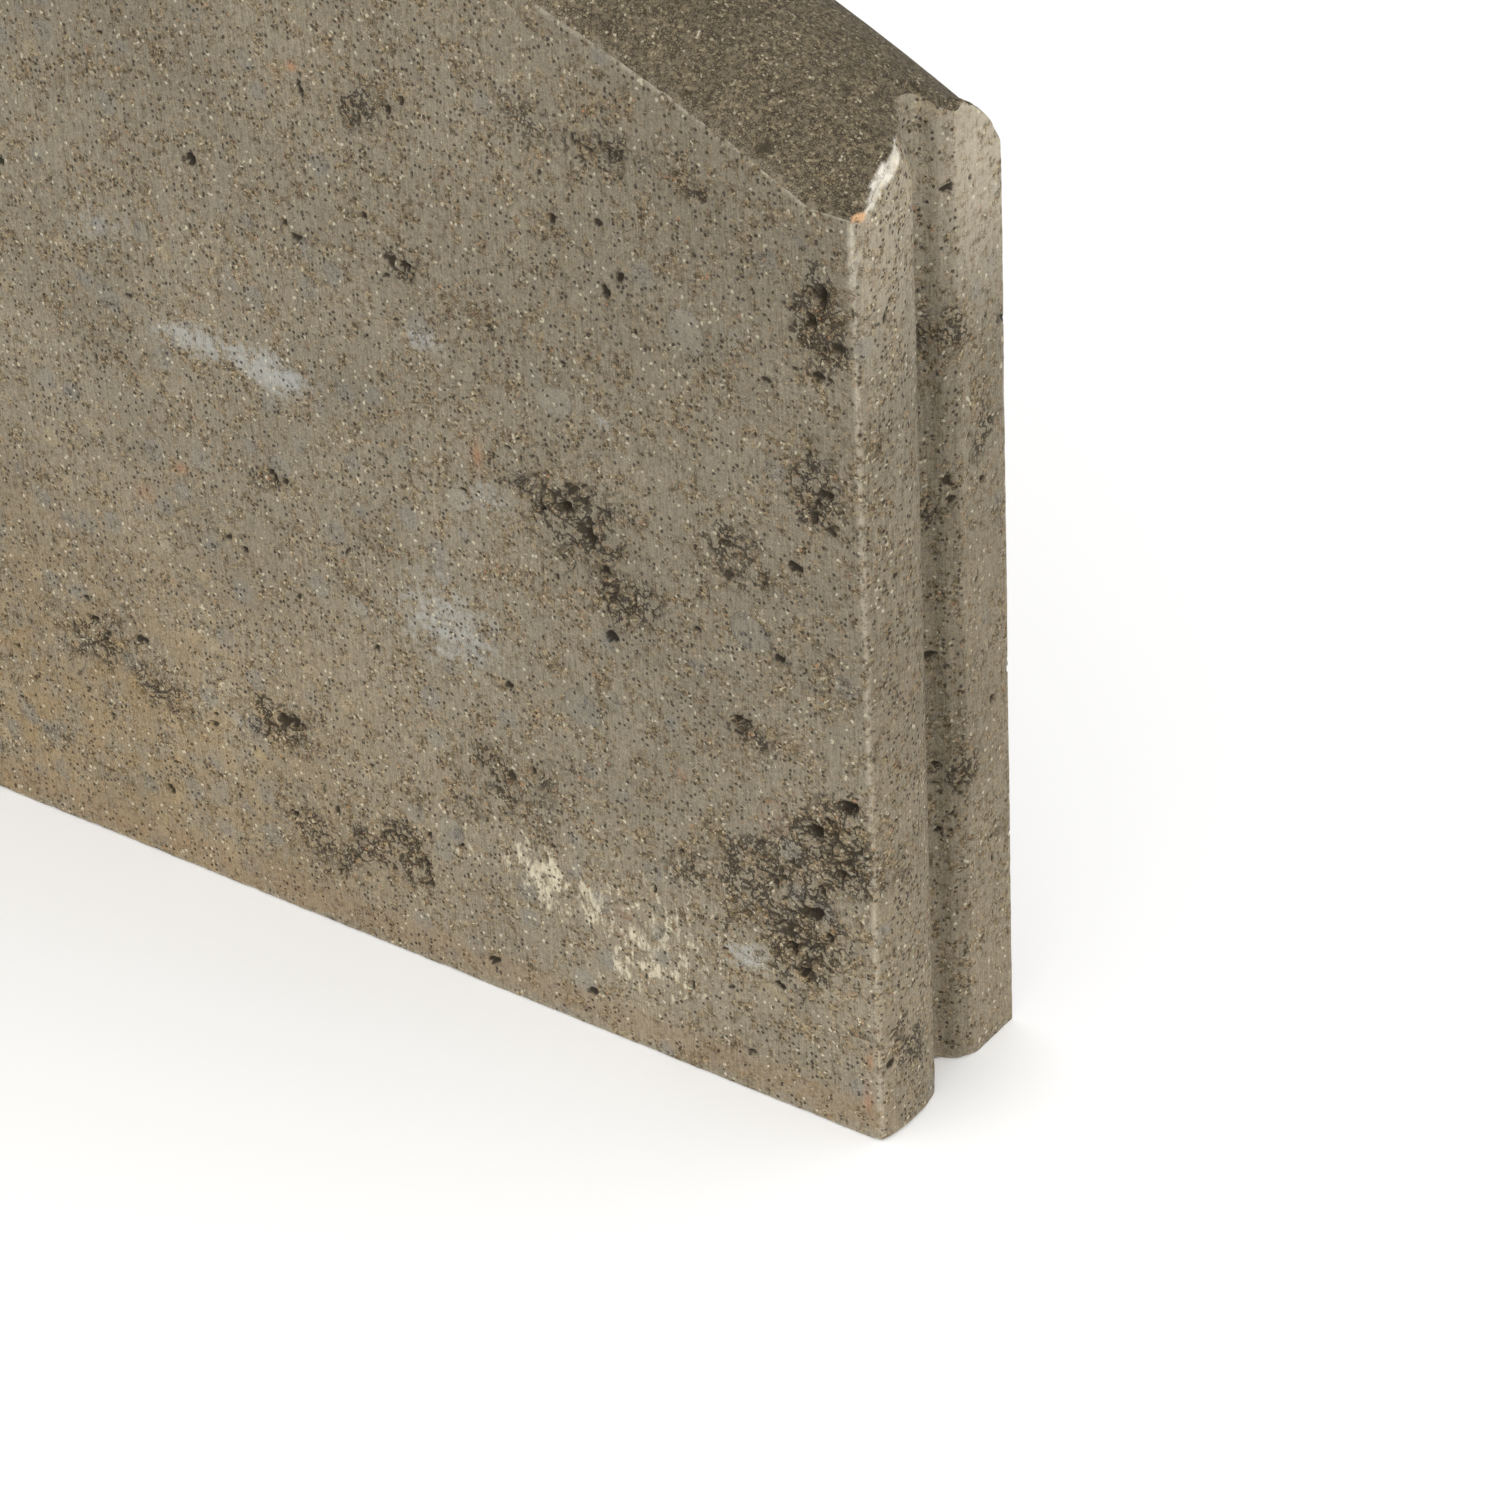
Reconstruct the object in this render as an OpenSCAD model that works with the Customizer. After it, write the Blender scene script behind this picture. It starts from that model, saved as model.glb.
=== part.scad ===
// Precast concrete edging board with a bowed, crowned top.
// A tongue at one end nests in the groove at the other end of the next board.
// Origin: middle of the flat underside. +X runs along the board towards the groove,
// +Y runs from the front face to the back face, +Z is up.

/* [Board] */
// Length from joint to joint
board_length = 500; // [400:1:640]
// Thickness from the front face to the back face
board_thickness = 60; // [50:1:80]
// Height of the small flat land at the front corner of each end
land_height = 250; // [200:1:320]

/* [Bowed top] */
// Rise of the top from the ends to the middle
bow_rise = 66; // [40:1:90]
// Height of the rounded crown above its two edges
crown_height = 17; // [10:1:22]
// Length of the land, measured in from the end
land_length = 12; // [6:1:20]
// Depth of the land, measured back from the front face
land_depth = 14; // [8:1:20]
// Depth of the fine facing concrete that is tamped over the core
facing_depth = 9; // [5:0.5:14]

/* [End joint] */
// Distance of the groove's centre from the front face
groove_centre = 32.7; // [26:0.1:36]
// Width of the groove at its mouth
groove_width = 17.4; // [12:0.1:22]
// Depth of the groove
groove_depth = 7.6; // [5:0.1:10]
// Radius of the groove's round root
groove_root = 4.2; // [3:0.1:5]
// Bulge of the front ear, between the front face and the groove
ear_bulge = 2.2; // [1:0.1:4]

/* [Exposed stones] */
// Columns of stones along each long face
stone_columns = 11; // [6:1:12]
// Rows of stones up each long face
stone_rows = 5; // [3:1:5]
// Radius of the smallest stone
stone_min = 3.4; // [2.5:0.1:4]
// Radius of the largest stone
stone_max = 6.6; // [5:0.1:7]
// Share of its radius that a stone's centre lies below the face
stone_sink = 0.35; // [0.2:0.05:0.6]

/* [Reinforcement] */
// Diameter of the three long bars
bar_d = 6; // [4:0.5:8]
// Diameter of the upright wires
upright_d = 4; // [3:0.5:6]
// Number of upright wires
upright_count = 4; // [3:1:6]
// Concrete between a long bar's end and the joint
end_cover = 32; // [24:1:50]
// Concrete between the lowest bar and the underside
base_cover = 30; // [20:1:50]
// Concrete between the bowed bar and the edge of the crown
bow_cover = 34; // [26:1:50]
// Mortar film between a long bar and an upright wire
wire_film = 0.4; // [0.3:0.1:0.8]

/* [Hidden] */
$fn = 96;

// How far cutters run past what they cut, and how much of each end is shaped on its own
cut_margin = 20;
end_stock = 40;

half_length = board_length / 2;
half_thickness = board_thickness / 2;
// The tongue reaches out at one end and the ear bulges at the other: this centres the whole board
centre_shift = (groove_depth - ear_bulge) / 2;

// Radius and centre of the bow, in the plane of the front face
bow_radius = (half_length * half_length + bow_rise * bow_rise) / (2 * bow_rise);
function bow_above_ends(x) = sqrt(bow_radius * bow_radius - x * x) - (bow_radius - bow_rise);
bow_half_sweep = asin(half_length / bow_radius) + 12;
bow_end_z = land_height - bow_above_ends(half_length - land_length);
bow_centre_z = bow_end_z + bow_rise - bow_radius;
function bow_z(x) = bow_end_z + bow_above_ends(x);
// Radius of the crown across the top, through both of its edges
crown_radius = (half_thickness * half_thickness + crown_height * crown_height) / (2 * crown_height);
crown_centre = bow_radius + crown_height - crown_radius;
section_half = (crown_radius + half_thickness) / 2;
board_top = bow_end_z + bow_rise + crown_height;
blank_height = board_top + cut_margin;

// End profile
front_ear = groove_centre - groove_width / 2;
// The bulge's arc runs on this far past both sides of the ear, so that it meets them in clean edges
ear_runout = 1;
ear_half_chord = front_ear / 2 + ear_runout;
ear_radius = (ear_half_chord * ear_half_chord + ear_bulge * ear_bulge) / (2 * ear_bulge);
root_centre = groove_depth - groove_root;
mouth_half = groove_width / 2;
// Half the width of the groove where its sloping walls run into the round root
root_half = 0.85 * groove_root;
wall_slope = (mouth_half - root_half) / root_centre;
wall_runout = ear_bulge + ear_runout;
wall_end = mouth_half + wall_slope * wall_runout;

// Exposed stones: a jittered grid on the front face and another on the back face
STONE_KINDS = 5;
edge_margin = stone_max + 10;
column_pitch = (board_length - 2 * edge_margin - groove_depth) / stone_columns;
jitter = 0.22;
function wobble(n) = sin(n * 137.5);
function stone_x(i, k) = -half_length + edge_margin + groove_depth
    + column_pitch * (i + 0.5 + jitter * wobble(7 * i + 3 * k + 1));
function stone_top(x) = bow_z(x) - facing_depth - edge_margin;
function stone_z(i, k, x) = edge_margin
    + (stone_top(x) - edge_margin) * (k + 0.5 + jitter * wobble(5 * i + 11 * k + 2)) / stone_rows;
function stone_r(i, k) = stone_min
    + (stone_max - stone_min) * pow(0.5 + 0.5 * wobble(3 * i + 13 * k + 5), 2);
function stone_kind(i, k, side) = (2 * i + 3 * k + side) % STONE_KINDS;
stone_sites = [for (side = [0, 1]) for (i = [0:stone_columns - 1]) for (k = [0:stone_rows - 1])
    let (x = stone_x(i, k + side), r = stone_r(i, k + side))
    [x, side, stone_z(i, k + side / 2, x), r, stone_kind(i, k, side)]];

// Reinforcement
bow_bar_radius = bow_radius - bow_cover;
bow_bar_half_angle = asin((half_length - end_cover) / bow_bar_radius);
function bow_bar_z(x) = bow_centre_z + sqrt(bow_bar_radius * bow_bar_radius - x * x);
bottom_bar_z = base_cover + bar_d / 2;
middle_bar_z = (bottom_bar_z + bow_bar_z(half_length - end_cover)) / 2;
bar_length = board_length - 2 * end_cover;
upright_y = half_thickness + (bar_d + upright_d) / 2 + wire_film;
upright_pitch = (bar_length - bar_d) / upright_count;
upright_tail = bar_d;

// Places a shape drawn from the front face onto the board's own origin
module on_board() {
    translate([centre_shift, -half_thickness, 0])
        children();
}

// Groove cutter: a column with a round root and sloping walls, with its mouth at x = 0
module groove_column() {
    translate([-root_centre, 0, 0])
        cylinder(h = blank_height, r = groove_root);
    linear_extrude(blank_height)
        polygon([[-root_centre, root_half], [wall_runout, wall_end],
                 [wall_runout, -wall_end], [-root_centre, -root_half]]);
}

// Bulge of the front ear, which stands out past x = 0
module ear_column() {
    intersection() {
        translate([ear_bulge - ear_radius, front_ear / 2, 0])
            cylinder(h = blank_height, r = ear_radius);
        translate([-end_stock, 0, 0])
            cube([2 * end_stock, front_ear + 2 * ear_runout, blank_height]);
    }
}

// Board with a flat top, taller than the bow: the far end is the shape that the next board's end leaves
module board_blank() {
    difference() {
        union() {
            difference() {
                translate([-half_length, 0, 0])
                    cube([board_length, board_thickness, blank_height]);
                translate([-half_length, 0, 0])
                    ear_column();
            }
            translate([half_length, 0, 0])
                ear_column();
            translate([-half_length, groove_centre, 0])
                groove_column();
        }
        translate([half_length, groove_centre, 0])
            groove_column();
    }
}

// Rim of the crown, drawn as (distance from the bow's axis, depth) and lowered by drop
module crown_rim(drop) {
    translate([crown_centre - drop, half_thickness])
        circle(crown_radius);
}

// Crowned cross-section from the bow's axis out to the crown, a little wider than the board
module crown_section(drop) {
    crown_rim(drop);
    translate([bow_radius / 2, half_thickness - section_half])
        square([crown_centre - drop - bow_radius / 2, 2 * section_half]);
}

// Sweeps a cross-section about the bow's axis, a little past both ends of the board
module along_bow() {
    translate([0, 0, bow_centre_z])
        rotate([-90, 0, 0])
            rotate([0, 0, -90 - bow_half_sweep])
                rotate_extrude(angle = 2 * bow_half_sweep, $fn = 240)
                    children();
}

// Everything above the crown, when the crown is lowered by drop
module above_bow(drop) {
    along_bow()
        difference() {
            translate([bow_radius - end_stock, half_thickness - section_half])
                square([bow_rise + crown_height + 2 * end_stock, 2 * section_half]);
            crown_section(drop);
        }
}

// Flat land at the front corner of each end, where the crown has fallen below it
module corner_lands() {
    for (side = [-1, 1])
        translate([side * half_length - 2 * land_length, 0, land_height / 2])
            cube([4 * land_length, land_depth, land_height / 2]);
}

module bow_bar_shape() {
    translate([0, half_thickness, bow_centre_z])
        rotate([90, 0, 0])
            rotate([0, 0, 90 - bow_bar_half_angle])
                rotate_extrude(angle = 2 * bow_bar_half_angle, $fn = 240)
                    translate([bow_bar_radius, 0])
                        circle(d = bar_d, $fn = 32);
}

module long_bar_shape(z) {
    translate([-bar_length / 2, half_thickness, z])
        rotate([0, 90, 0])
            cylinder(h = bar_length, d = bar_d, $fn = 32);
}

module upright_shapes() {
    for (i = [0:upright_count - 1]) {
        x = (i - (upright_count - 1) / 2) * upright_pitch;
        foot_z = bottom_bar_z - upright_tail;
        translate([x, upright_y, foot_z])
            cylinder(h = bow_bar_z(x) + upright_tail - foot_z, d = upright_d, $fn = 32);
    }
}

// A rounded stone whose axis runs into the board, with its outer side at the given reach
module stone_shape(r, reach) {
    rotate([-90, 0, 0])
        rotate_extrude($fn = 32)
            intersection() {
                translate([0, stone_sink * r])
                    circle(r);
                translate([0, -reach])
                    square([2 * r, 3 * r]);
            }
}

// Stones of the given kinds on both long faces: flush with the face, or standing out of it as cutters
module stones(kinds, reach) {
    for (site = stone_sites)
        if (len(search(site[4], kinds)) > 0)
            translate([site[0], site[1] * board_thickness, site[2]])
                mirror([0, site[1], 0])
                    stone_shape(site[3], reach);
}

module core_concrete() {
    color([0.53, 0.48, 0.41])
        on_board()
            difference() {
                board_blank();
                above_bow(facing_depth);
                stones([for (kind = [0:STONE_KINDS - 1]) kind], stone_max);
                bow_bar_shape();
                long_bar_shape(middle_bar_z);
                long_bar_shape(bottom_bar_z);
                upright_shapes();
            }
}

module top_facing() {
    color([0.40, 0.36, 0.30])
        on_board()
            intersection() {
                board_blank();
                union() {
                    along_bow()
                        difference() {
                            crown_rim(0);
                            crown_rim(facing_depth);
                        }
                    difference() {
                        corner_lands();
                        along_bow()
                            crown_section(facing_depth);
                    }
                }
            }
}

module bow_bar() {
    color([0.42, 0.35, 0.31])
        on_board()
            bow_bar_shape();
}

module middle_bar() {
    color([0.42, 0.35, 0.31])
        on_board()
            long_bar_shape(middle_bar_z);
}

module bottom_bar() {
    color([0.42, 0.35, 0.31])
        on_board()
            long_bar_shape(bottom_bar_z);
}

module upright_wires() {
    color([0.45, 0.38, 0.34])
        on_board()
            upright_shapes();
}

module buff_stones() {
    color([0.70, 0.62, 0.47])
        on_board()
            stones([0], 0);
}

module grey_stones() {
    color([0.42, 0.44, 0.45])
        on_board()
            stones([1], 0);
}

module white_stones() {
    color([0.80, 0.77, 0.70])
        on_board()
            stones([2], 0);
}

module rust_stones() {
    color([0.60, 0.36, 0.22])
        on_board()
            stones([3], 0);
}

module river_pebbles() {
    color([0.60, 0.54, 0.43])
        on_board()
            stones([4], 0);
}

core_concrete();
top_facing();
bow_bar();
middle_bar();
bottom_bar();
upright_wires();
buff_stones();
grey_stones();
white_stones();
rust_stones();
river_pebbles();
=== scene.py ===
"""Looks of a concrete edging board with a bowed, crowned top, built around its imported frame.

Sizes are in millimetres and become metres where a mesh is written. A point is (x, y, z) in the frame's own
axes: x runs along the board towards the grooved end, y from the front face to the back, z up.
"""

import itertools
import logging
import math
from dataclasses import dataclass, field
from enum import Enum

import bpy
import numpy as np
from mathutils import Matrix, Vector


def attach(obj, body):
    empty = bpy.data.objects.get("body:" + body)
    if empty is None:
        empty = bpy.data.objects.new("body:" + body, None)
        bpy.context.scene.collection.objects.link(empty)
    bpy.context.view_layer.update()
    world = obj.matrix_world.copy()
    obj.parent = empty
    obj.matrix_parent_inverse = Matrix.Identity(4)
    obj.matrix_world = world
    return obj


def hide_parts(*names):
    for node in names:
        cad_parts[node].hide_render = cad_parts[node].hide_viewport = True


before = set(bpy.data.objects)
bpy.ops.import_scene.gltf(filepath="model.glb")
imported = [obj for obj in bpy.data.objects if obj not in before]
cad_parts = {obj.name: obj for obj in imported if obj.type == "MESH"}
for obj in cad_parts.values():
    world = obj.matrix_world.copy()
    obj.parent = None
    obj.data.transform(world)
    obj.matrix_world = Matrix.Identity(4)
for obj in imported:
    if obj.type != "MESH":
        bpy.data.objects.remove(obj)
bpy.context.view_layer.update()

LOG = logging.getLogger("edging_board")
MM = 0.001
BODY = "root"


def shade(red: int, green: int, blue: int) -> tuple[float, float, float, float]:
    """Turns a display colour into the linear colour that a shader takes.

    Args:
        red: Red from 0 to 255.
        green: Green from 0 to 255.
        blue: Blue from 0 to 255.

    Returns:
        The linear colour with full alpha.
    """
    def linear(value: int) -> float:
        """Undoes the display curve for one channel."""
        part = value / 255
        return part / 12.92 if part <= 0.04045 else ((part + 0.055) / 1.055) ** 2.4

    return (linear(red), linear(green), linear(blue), 1.0)


def smooth(low: float, high: float, value: np.ndarray) -> np.ndarray:
    """Rises smoothly from 0 at low to 1 at high."""
    part = np.clip((value - low) / (high - low), 0, 1)
    return part * part * (3 - 2 * part)


class Side(Enum):
    """The faces of the board, with the frame axes that run across each."""

    FRONT = "front"
    BACK = "back"
    GROOVE_END = "groove_end"
    TONGUE_END = "tongue_end"
    TOP = "top"
    UNDERSIDE = "underside"

    @property
    def normal(self) -> tuple[float, float, float]:
        """The direction that the face looks in."""
        return {
            Side.FRONT: (0, -1, 0),
            Side.BACK: (0, 1, 0),
            Side.GROOVE_END: (1, 0, 0),
            Side.TONGUE_END: (-1, 0, 0),
            Side.TOP: (0, 0, 1),
            Side.UNDERSIDE: (0, 0, -1),
        }[self]

    @property
    def axes(self) -> tuple[int, int]:
        """The two frame axes that span the face."""
        if self in (Side.FRONT, Side.BACK):
            return (0, 2)
        if self in (Side.GROOVE_END, Side.TONGUE_END):
            return (1, 2)
        return (0, 1)


@dataclass(frozen=True)
class Noise:
    """Seeded smooth noise in space, from -1 to 1."""

    seed: int

    def corner(self, cell: np.ndarray) -> np.ndarray:
        """Gives each whole-numbered cell its own value from -1 to 1."""
        mixed = cell[:, 0] * 73856093 ^ cell[:, 1] * 19349663 ^ cell[:, 2] * 83492791
        mixed = mixed ^ self.seed * 2654435761
        mixed = (mixed ^ (mixed >> 13)) * 1274126177 & 0xFFFFFFFF
        mixed = (mixed ^ (mixed >> 16)) * 2246822519 & 0xFFFFFFFF
        return (mixed ^ (mixed >> 15)) / 0x7FFFFFFF - 1

    def at(self, points: np.ndarray, size: float | tuple[float, float, float]) -> np.ndarray:
        """Samples the noise.

        Args:
            points: Points to sample, one per row.
            size: Width of one blot, or one width per axis.

        Returns:
            One value per point.
        """
        scaled = points / np.asarray(size, float)
        cell = np.floor(scaled).astype(np.int64)
        part = scaled - cell
        part = part * part * (3 - 2 * part)
        total = np.zeros(len(points))
        for step in itertools.product((0, 1), repeat=3):
            weight = np.prod(np.abs(1 - np.array(step) - part), axis=1)
            total += weight * self.corner(cell + step)
        return total

    def layered(self, points: np.ndarray, size: float, layers: int = 3) -> np.ndarray:
        """Adds ever finer and weaker layers of the noise."""
        total = np.zeros(len(points))
        for layer in range(layers):
            total += self.at(points + 31.7 * layer, size / 2**layer) / 2**layer
        return total / 1.5


@dataclass(frozen=True)
class Mark:
    """A blemish on one face of the board.

    Places are measured along the face's two axes: from the grooved end or from the front face, and from
    the underside.
    """

    across: float
    up: float
    wide: float
    tall: float
    strength: float = 1.0


@dataclass(frozen=True)
class BoardShape:
    """Sizes of the board, and the surfaces that they make."""

    length: float = 500
    thickness: float = 60
    land_height: float = 250
    bow_rise: float = 66
    crown_height: float = 17
    land_length: float = 12
    land_depth: float = 14
    facing_depth: float = 9
    groove_centre: float = 32.7
    groove_width: float = 17.4
    groove_depth: float = 7.6
    groove_root: float = 4.2
    ear_bulge: float = 2.2
    ear_runout: float = 1.0
    profile_reach: float = 24

    @property
    def half_length(self) -> float:
        """Half the length from joint to joint."""
        return self.length / 2

    @property
    def half_thickness(self) -> float:
        """Half the thickness."""
        return self.thickness / 2

    @property
    def shift(self) -> float:
        """How far the joint-to-joint middle lies from the middle of the whole board."""
        return (self.groove_depth - self.ear_bulge) / 2

    @property
    def bow_radius(self) -> float:
        """Radius of the bow in the plane of the front face."""
        return (self.half_length**2 + self.bow_rise**2) / (2 * self.bow_rise)

    @property
    def bow_axis(self) -> float:
        """Height of the bow's centre."""
        lift = math.sqrt(self.bow_radius**2 - (self.half_length - self.land_length) ** 2)
        return self.land_height - lift

    @property
    def crown_radius(self) -> float:
        """Radius of the crown across the top."""
        return (self.half_thickness**2 + self.crown_height**2) / (2 * self.crown_height)

    @property
    def front_ear(self) -> float:
        """Width of the front ear of the grooved end."""
        return self.groove_centre - self.groove_width / 2

    def end_profile(self, depth: np.ndarray) -> np.ndarray:
        """How far the grooved end stands out, by distance from the front face.

        Args:
            depth: Distances from the front face.

        Returns:
            How far the end stands out at each: positive on the front ear, negative in the groove.
        """
        half_chord = self.front_ear / 2 + self.ear_runout
        radius = (half_chord**2 + self.ear_bulge**2) / (2 * self.ear_bulge)
        ear = self.ear_bulge - radius + np.sqrt(radius**2 - np.clip(depth - self.front_ear / 2, -13, 13) ** 2)
        off_centre = np.abs(depth - self.groove_centre)
        mouth_half = self.groove_width / 2
        root_centre = self.groove_depth - self.groove_root
        slope = (mouth_half - 0.85 * self.groove_root) / root_centre
        wall = np.clip((mouth_half - off_centre) / slope, 0, root_centre)
        root = root_centre + np.sqrt(np.clip(self.groove_root**2 - off_centre**2, 0, None))
        groove = np.where(off_centre < 0.995 * self.groove_root, root, wall)
        return np.where(depth < self.front_ear, ear, -groove)

    def crown(self, x: np.ndarray, depth: np.ndarray, drop: float) -> np.ndarray:
        """Height of the crowned bow, lowered along its radius by drop."""
        rim = self.bow_radius + self.crown_height - self.crown_radius - drop
        rim = rim + np.sqrt(self.crown_radius**2 - (depth - self.half_thickness) ** 2)
        return self.bow_axis + np.sqrt(rim**2 - x**2)

    def top(self, x: np.ndarray, depth: np.ndarray) -> np.ndarray:
        """Height of the top, with the small flat lands at the front corners."""
        height = self.crown(x, depth, 0)
        land = (np.abs(x) > self.half_length - 2 * self.land_length) & (depth < self.land_depth)
        return np.where(land, np.maximum(height, self.land_height), height)

    def facing_floor(self, x: np.ndarray, depth: np.ndarray) -> np.ndarray:
        """Height of the joint between the core and the facing."""
        return self.crown(x, depth, self.facing_depth)


@dataclass(frozen=True)
class Stone:
    """A stone that lies against one long face, cut where the CAD model has it."""

    x: float
    z: float
    radius: float
    front: bool
    turn: float
    lobes: tuple[float, float, float]
    moat: float

    def outline(self, angle: np.ndarray) -> np.ndarray:
        """Radius of the stone at the face, by angle round it."""
        first, second, third = self.lobes
        wave = first * np.cos(2 * (angle - self.turn)) + second * np.cos(3 * (angle + 2 * self.turn))
        wave = wave + third * np.cos(5 * (angle - 3 * self.turn))
        return self.radius * (0.86 + wave)


@dataclass
class StoneBed:
    """Finds the stones of the five CAD nodes and gives each its own outline."""

    nodes: tuple[str, ...]
    seed: int = 5
    stones: dict[str, list[Stone]] = field(default_factory=dict)

    def find(self) -> None:
        """Reads each node's separate solids and makes a stone for each."""
        draw = np.random.default_rng(self.seed)
        for name in self.nodes:
            self.stones[name] = [self.shaped(low, high, draw) for low, high in self.islands(name)]

    def islands(self, name: str) -> list[tuple[np.ndarray, np.ndarray]]:
        """Gives the corners of each separate solid in a node, in order along the board."""
        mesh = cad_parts[name].data
        places = np.empty(len(mesh.vertices) * 3)
        mesh.vertices.foreach_get("co", places)
        places = places.reshape(-1, 3) / MM
        welded = np.unique(np.round(places, 3), axis=0, return_inverse=True)[1].ravel()
        edges = np.empty(len(mesh.edges) * 2, int)
        mesh.edges.foreach_get("vertices", edges)
        ends = welded[edges.reshape(-1, 2)]
        label = np.arange(welded.max() + 1)
        while True:
            low = np.minimum(label[ends[:, 0]], label[ends[:, 1]])
            fresh = label.copy()
            np.minimum.at(fresh, ends[:, 0], low)
            np.minimum.at(fresh, ends[:, 1], low)
            fresh = fresh[fresh]
            if np.array_equal(fresh, label):
                break
            label = fresh
        of_vertex = label[welded]
        boxes = [(places[of_vertex == n].min(0), places[of_vertex == n].max(0)) for n in np.unique(of_vertex)]
        return sorted(boxes, key=lambda pair: tuple(pair[0].round(2)))

    def shaped(self, low: np.ndarray, high: np.ndarray, draw: np.random.Generator) -> Stone:
        """Makes the stone that fills one solid's box."""
        middle = (low + high) / 2
        lobes = tuple(draw.uniform(-1, 1, 3) * (0.12, 0.055, 0.03))
        return Stone(
            x=middle[0],
            z=middle[2],
            radius=(high[0] - low[0]) / 2,
            front=bool(middle[1] < 0),
            turn=draw.uniform(0, math.tau),
            lobes=lobes,
            moat=draw.uniform(0, 1) ** 2,
        )

    def every(self) -> list[Stone]:
        """All the stones of all the nodes."""
        return [stone for name in self.nodes for stone in self.stones[name]]


@dataclass
class Faces:
    """Quads and triangles, as point numbers."""

    quads: np.ndarray
    triangles: np.ndarray

    def flipped(self) -> "Faces":
        """The same faces, turned over."""
        return Faces(self.quads[:, ::-1], self.triangles[:, ::-1])

    def renumbered(self, numbers: np.ndarray) -> "Faces":
        """The same faces on other point numbers."""
        return Faces(numbers[self.quads], numbers[self.triangles])

    def count(self) -> int:
        """How many faces there are."""
        return len(self.quads) + len(self.triangles)

    @staticmethod
    def joined(parts: list["Faces"]) -> "Faces":
        """All the faces of several parts: every quad, then every triangle."""
        return Faces(
            np.concatenate([part.quads for part in parts]), np.concatenate([part.triangles for part in parts])
        )

    def normals(self, points: np.ndarray) -> np.ndarray:
        """The direction that the surface looks in at each point.

        Args:
            points: Every point's place.

        Returns:
            One unit vector per point, weighted by the areas of the faces round it.
        """
        total = np.zeros_like(points)
        for corners in (self.quads, self.triangles):
            first, second, third = (points[corners[:, n]] for n in (0, 1, 2))
            last = points[corners[:, -1]]
            area = np.cross(third - first, last - second) if corners.shape[1] == 4 else np.cross(
                second - first, third - first
            )
            for column in corners.T:
                for axis in range(3):
                    total[:, axis] += np.bincount(column, area[:, axis], len(points))
        return total / np.maximum(np.linalg.norm(total, axis=1, keepdims=True), 1e-12)

    def averages(self, points: np.ndarray) -> np.ndarray:
        """The mean of each point's neighbours along the edges of a closed surface."""
        total, count = np.zeros_like(points), np.zeros(len(points))
        for corners in (self.quads, self.triangles):
            for column, after in zip(corners.T, np.roll(corners, -1, axis=1).T, strict=True):
                count += np.bincount(column, minlength=len(points))
                for axis in range(3):
                    total[:, axis] += np.bincount(column, points[after, axis], len(points))
        return total / np.maximum(count, 1)[:, None]


def sheet(numbers: np.ndarray, skip: int) -> Faces:
    """Covers a rectangle of grid points with faces.

    Args:
        numbers: Point numbers, as a rectangle.
        skip: Use every so-many rows and columns inside, with a ring of triangles out to the full rim.

    Returns:
        The faces, turned so that rows run right and columns run up.
    """
    rows, columns = numbers.shape[0] - 1, numbers.shape[1] - 1
    rings = [np.empty((0, 3), int)]
    inner = numbers
    if skip > 1:
        inner = numbers[skip : rows - skip + 1 : skip, skip : columns - skip + 1 : skip]
        rings.append(rim(numbers[:, 0], inner[:, 0], skip))
        rings.append(rim(numbers[-1, :], inner[-1, :], skip))
        rings.append(rim(numbers[::-1, -1], inner[::-1, -1], skip))
        rings.append(rim(numbers[0, ::-1], inner[0, ::-1], skip))
    quads = np.stack([inner[:-1, :-1], inner[1:, :-1], inner[1:, 1:], inner[:-1, 1:]], axis=-1)
    return Faces(quads.reshape(-1, 4), np.concatenate(rings))


def rim(outer: np.ndarray, inner: np.ndarray, skip: int) -> np.ndarray:
    """Joins a full line of points to the sparser line on its left."""
    last = len(inner) - 1
    mate = np.clip(np.round((np.arange(len(outer) - 1) + 0.5) / skip).astype(int) - 1, 0, last)
    triangles = np.stack([outer[:-1], outer[1:], inner[mate]], axis=1)
    turn = np.nonzero(np.diff(mate))[0] + 1
    between = np.stack([outer[turn], inner[mate[turn]], inner[mate[turn - 1]]], axis=1)
    return np.concatenate([triangles, between])


def write_mesh(name: str, points: np.ndarray, faces: Faces) -> bpy.types.Object:
    """Makes a smooth-shaded object.

    Args:
        name: The piece's name.
        points: Places in millimetres.
        faces: Its faces.

    Returns:
        The new object, linked to the scene.
    """
    mesh = bpy.data.meshes.new(name)
    corners = np.concatenate([faces.quads.ravel(), faces.triangles.ravel()]).astype(np.int32)
    sizes = np.repeat([4, 3], [len(faces.quads), len(faces.triangles)])
    mesh.vertices.add(len(points))
    mesh.vertices.foreach_set("co", (points * MM).astype(np.float32).ravel())
    mesh.loops.add(len(corners))
    mesh.loops.foreach_set("vertex_index", corners)
    mesh.polygons.add(len(sizes))
    mesh.polygons.foreach_set("loop_start", np.concatenate([[0], np.cumsum(sizes)[:-1]]).astype(np.int32))
    mesh.update(calc_edges=True)
    mesh.validate()
    mesh.shade_smooth()
    piece = bpy.data.objects.new(name, mesh)
    bpy.context.scene.collection.objects.link(piece)
    return piece


def write_values(piece: bpy.types.Object, values: dict[str, np.ndarray]) -> None:
    """Stores one number per point under each name, for the materials to read."""
    for name, numbers in values.items():
        layer = piece.data.attributes.new(name, "FLOAT", "POINT")
        layer.data.foreach_set("value", numbers.astype(np.float32))


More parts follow.
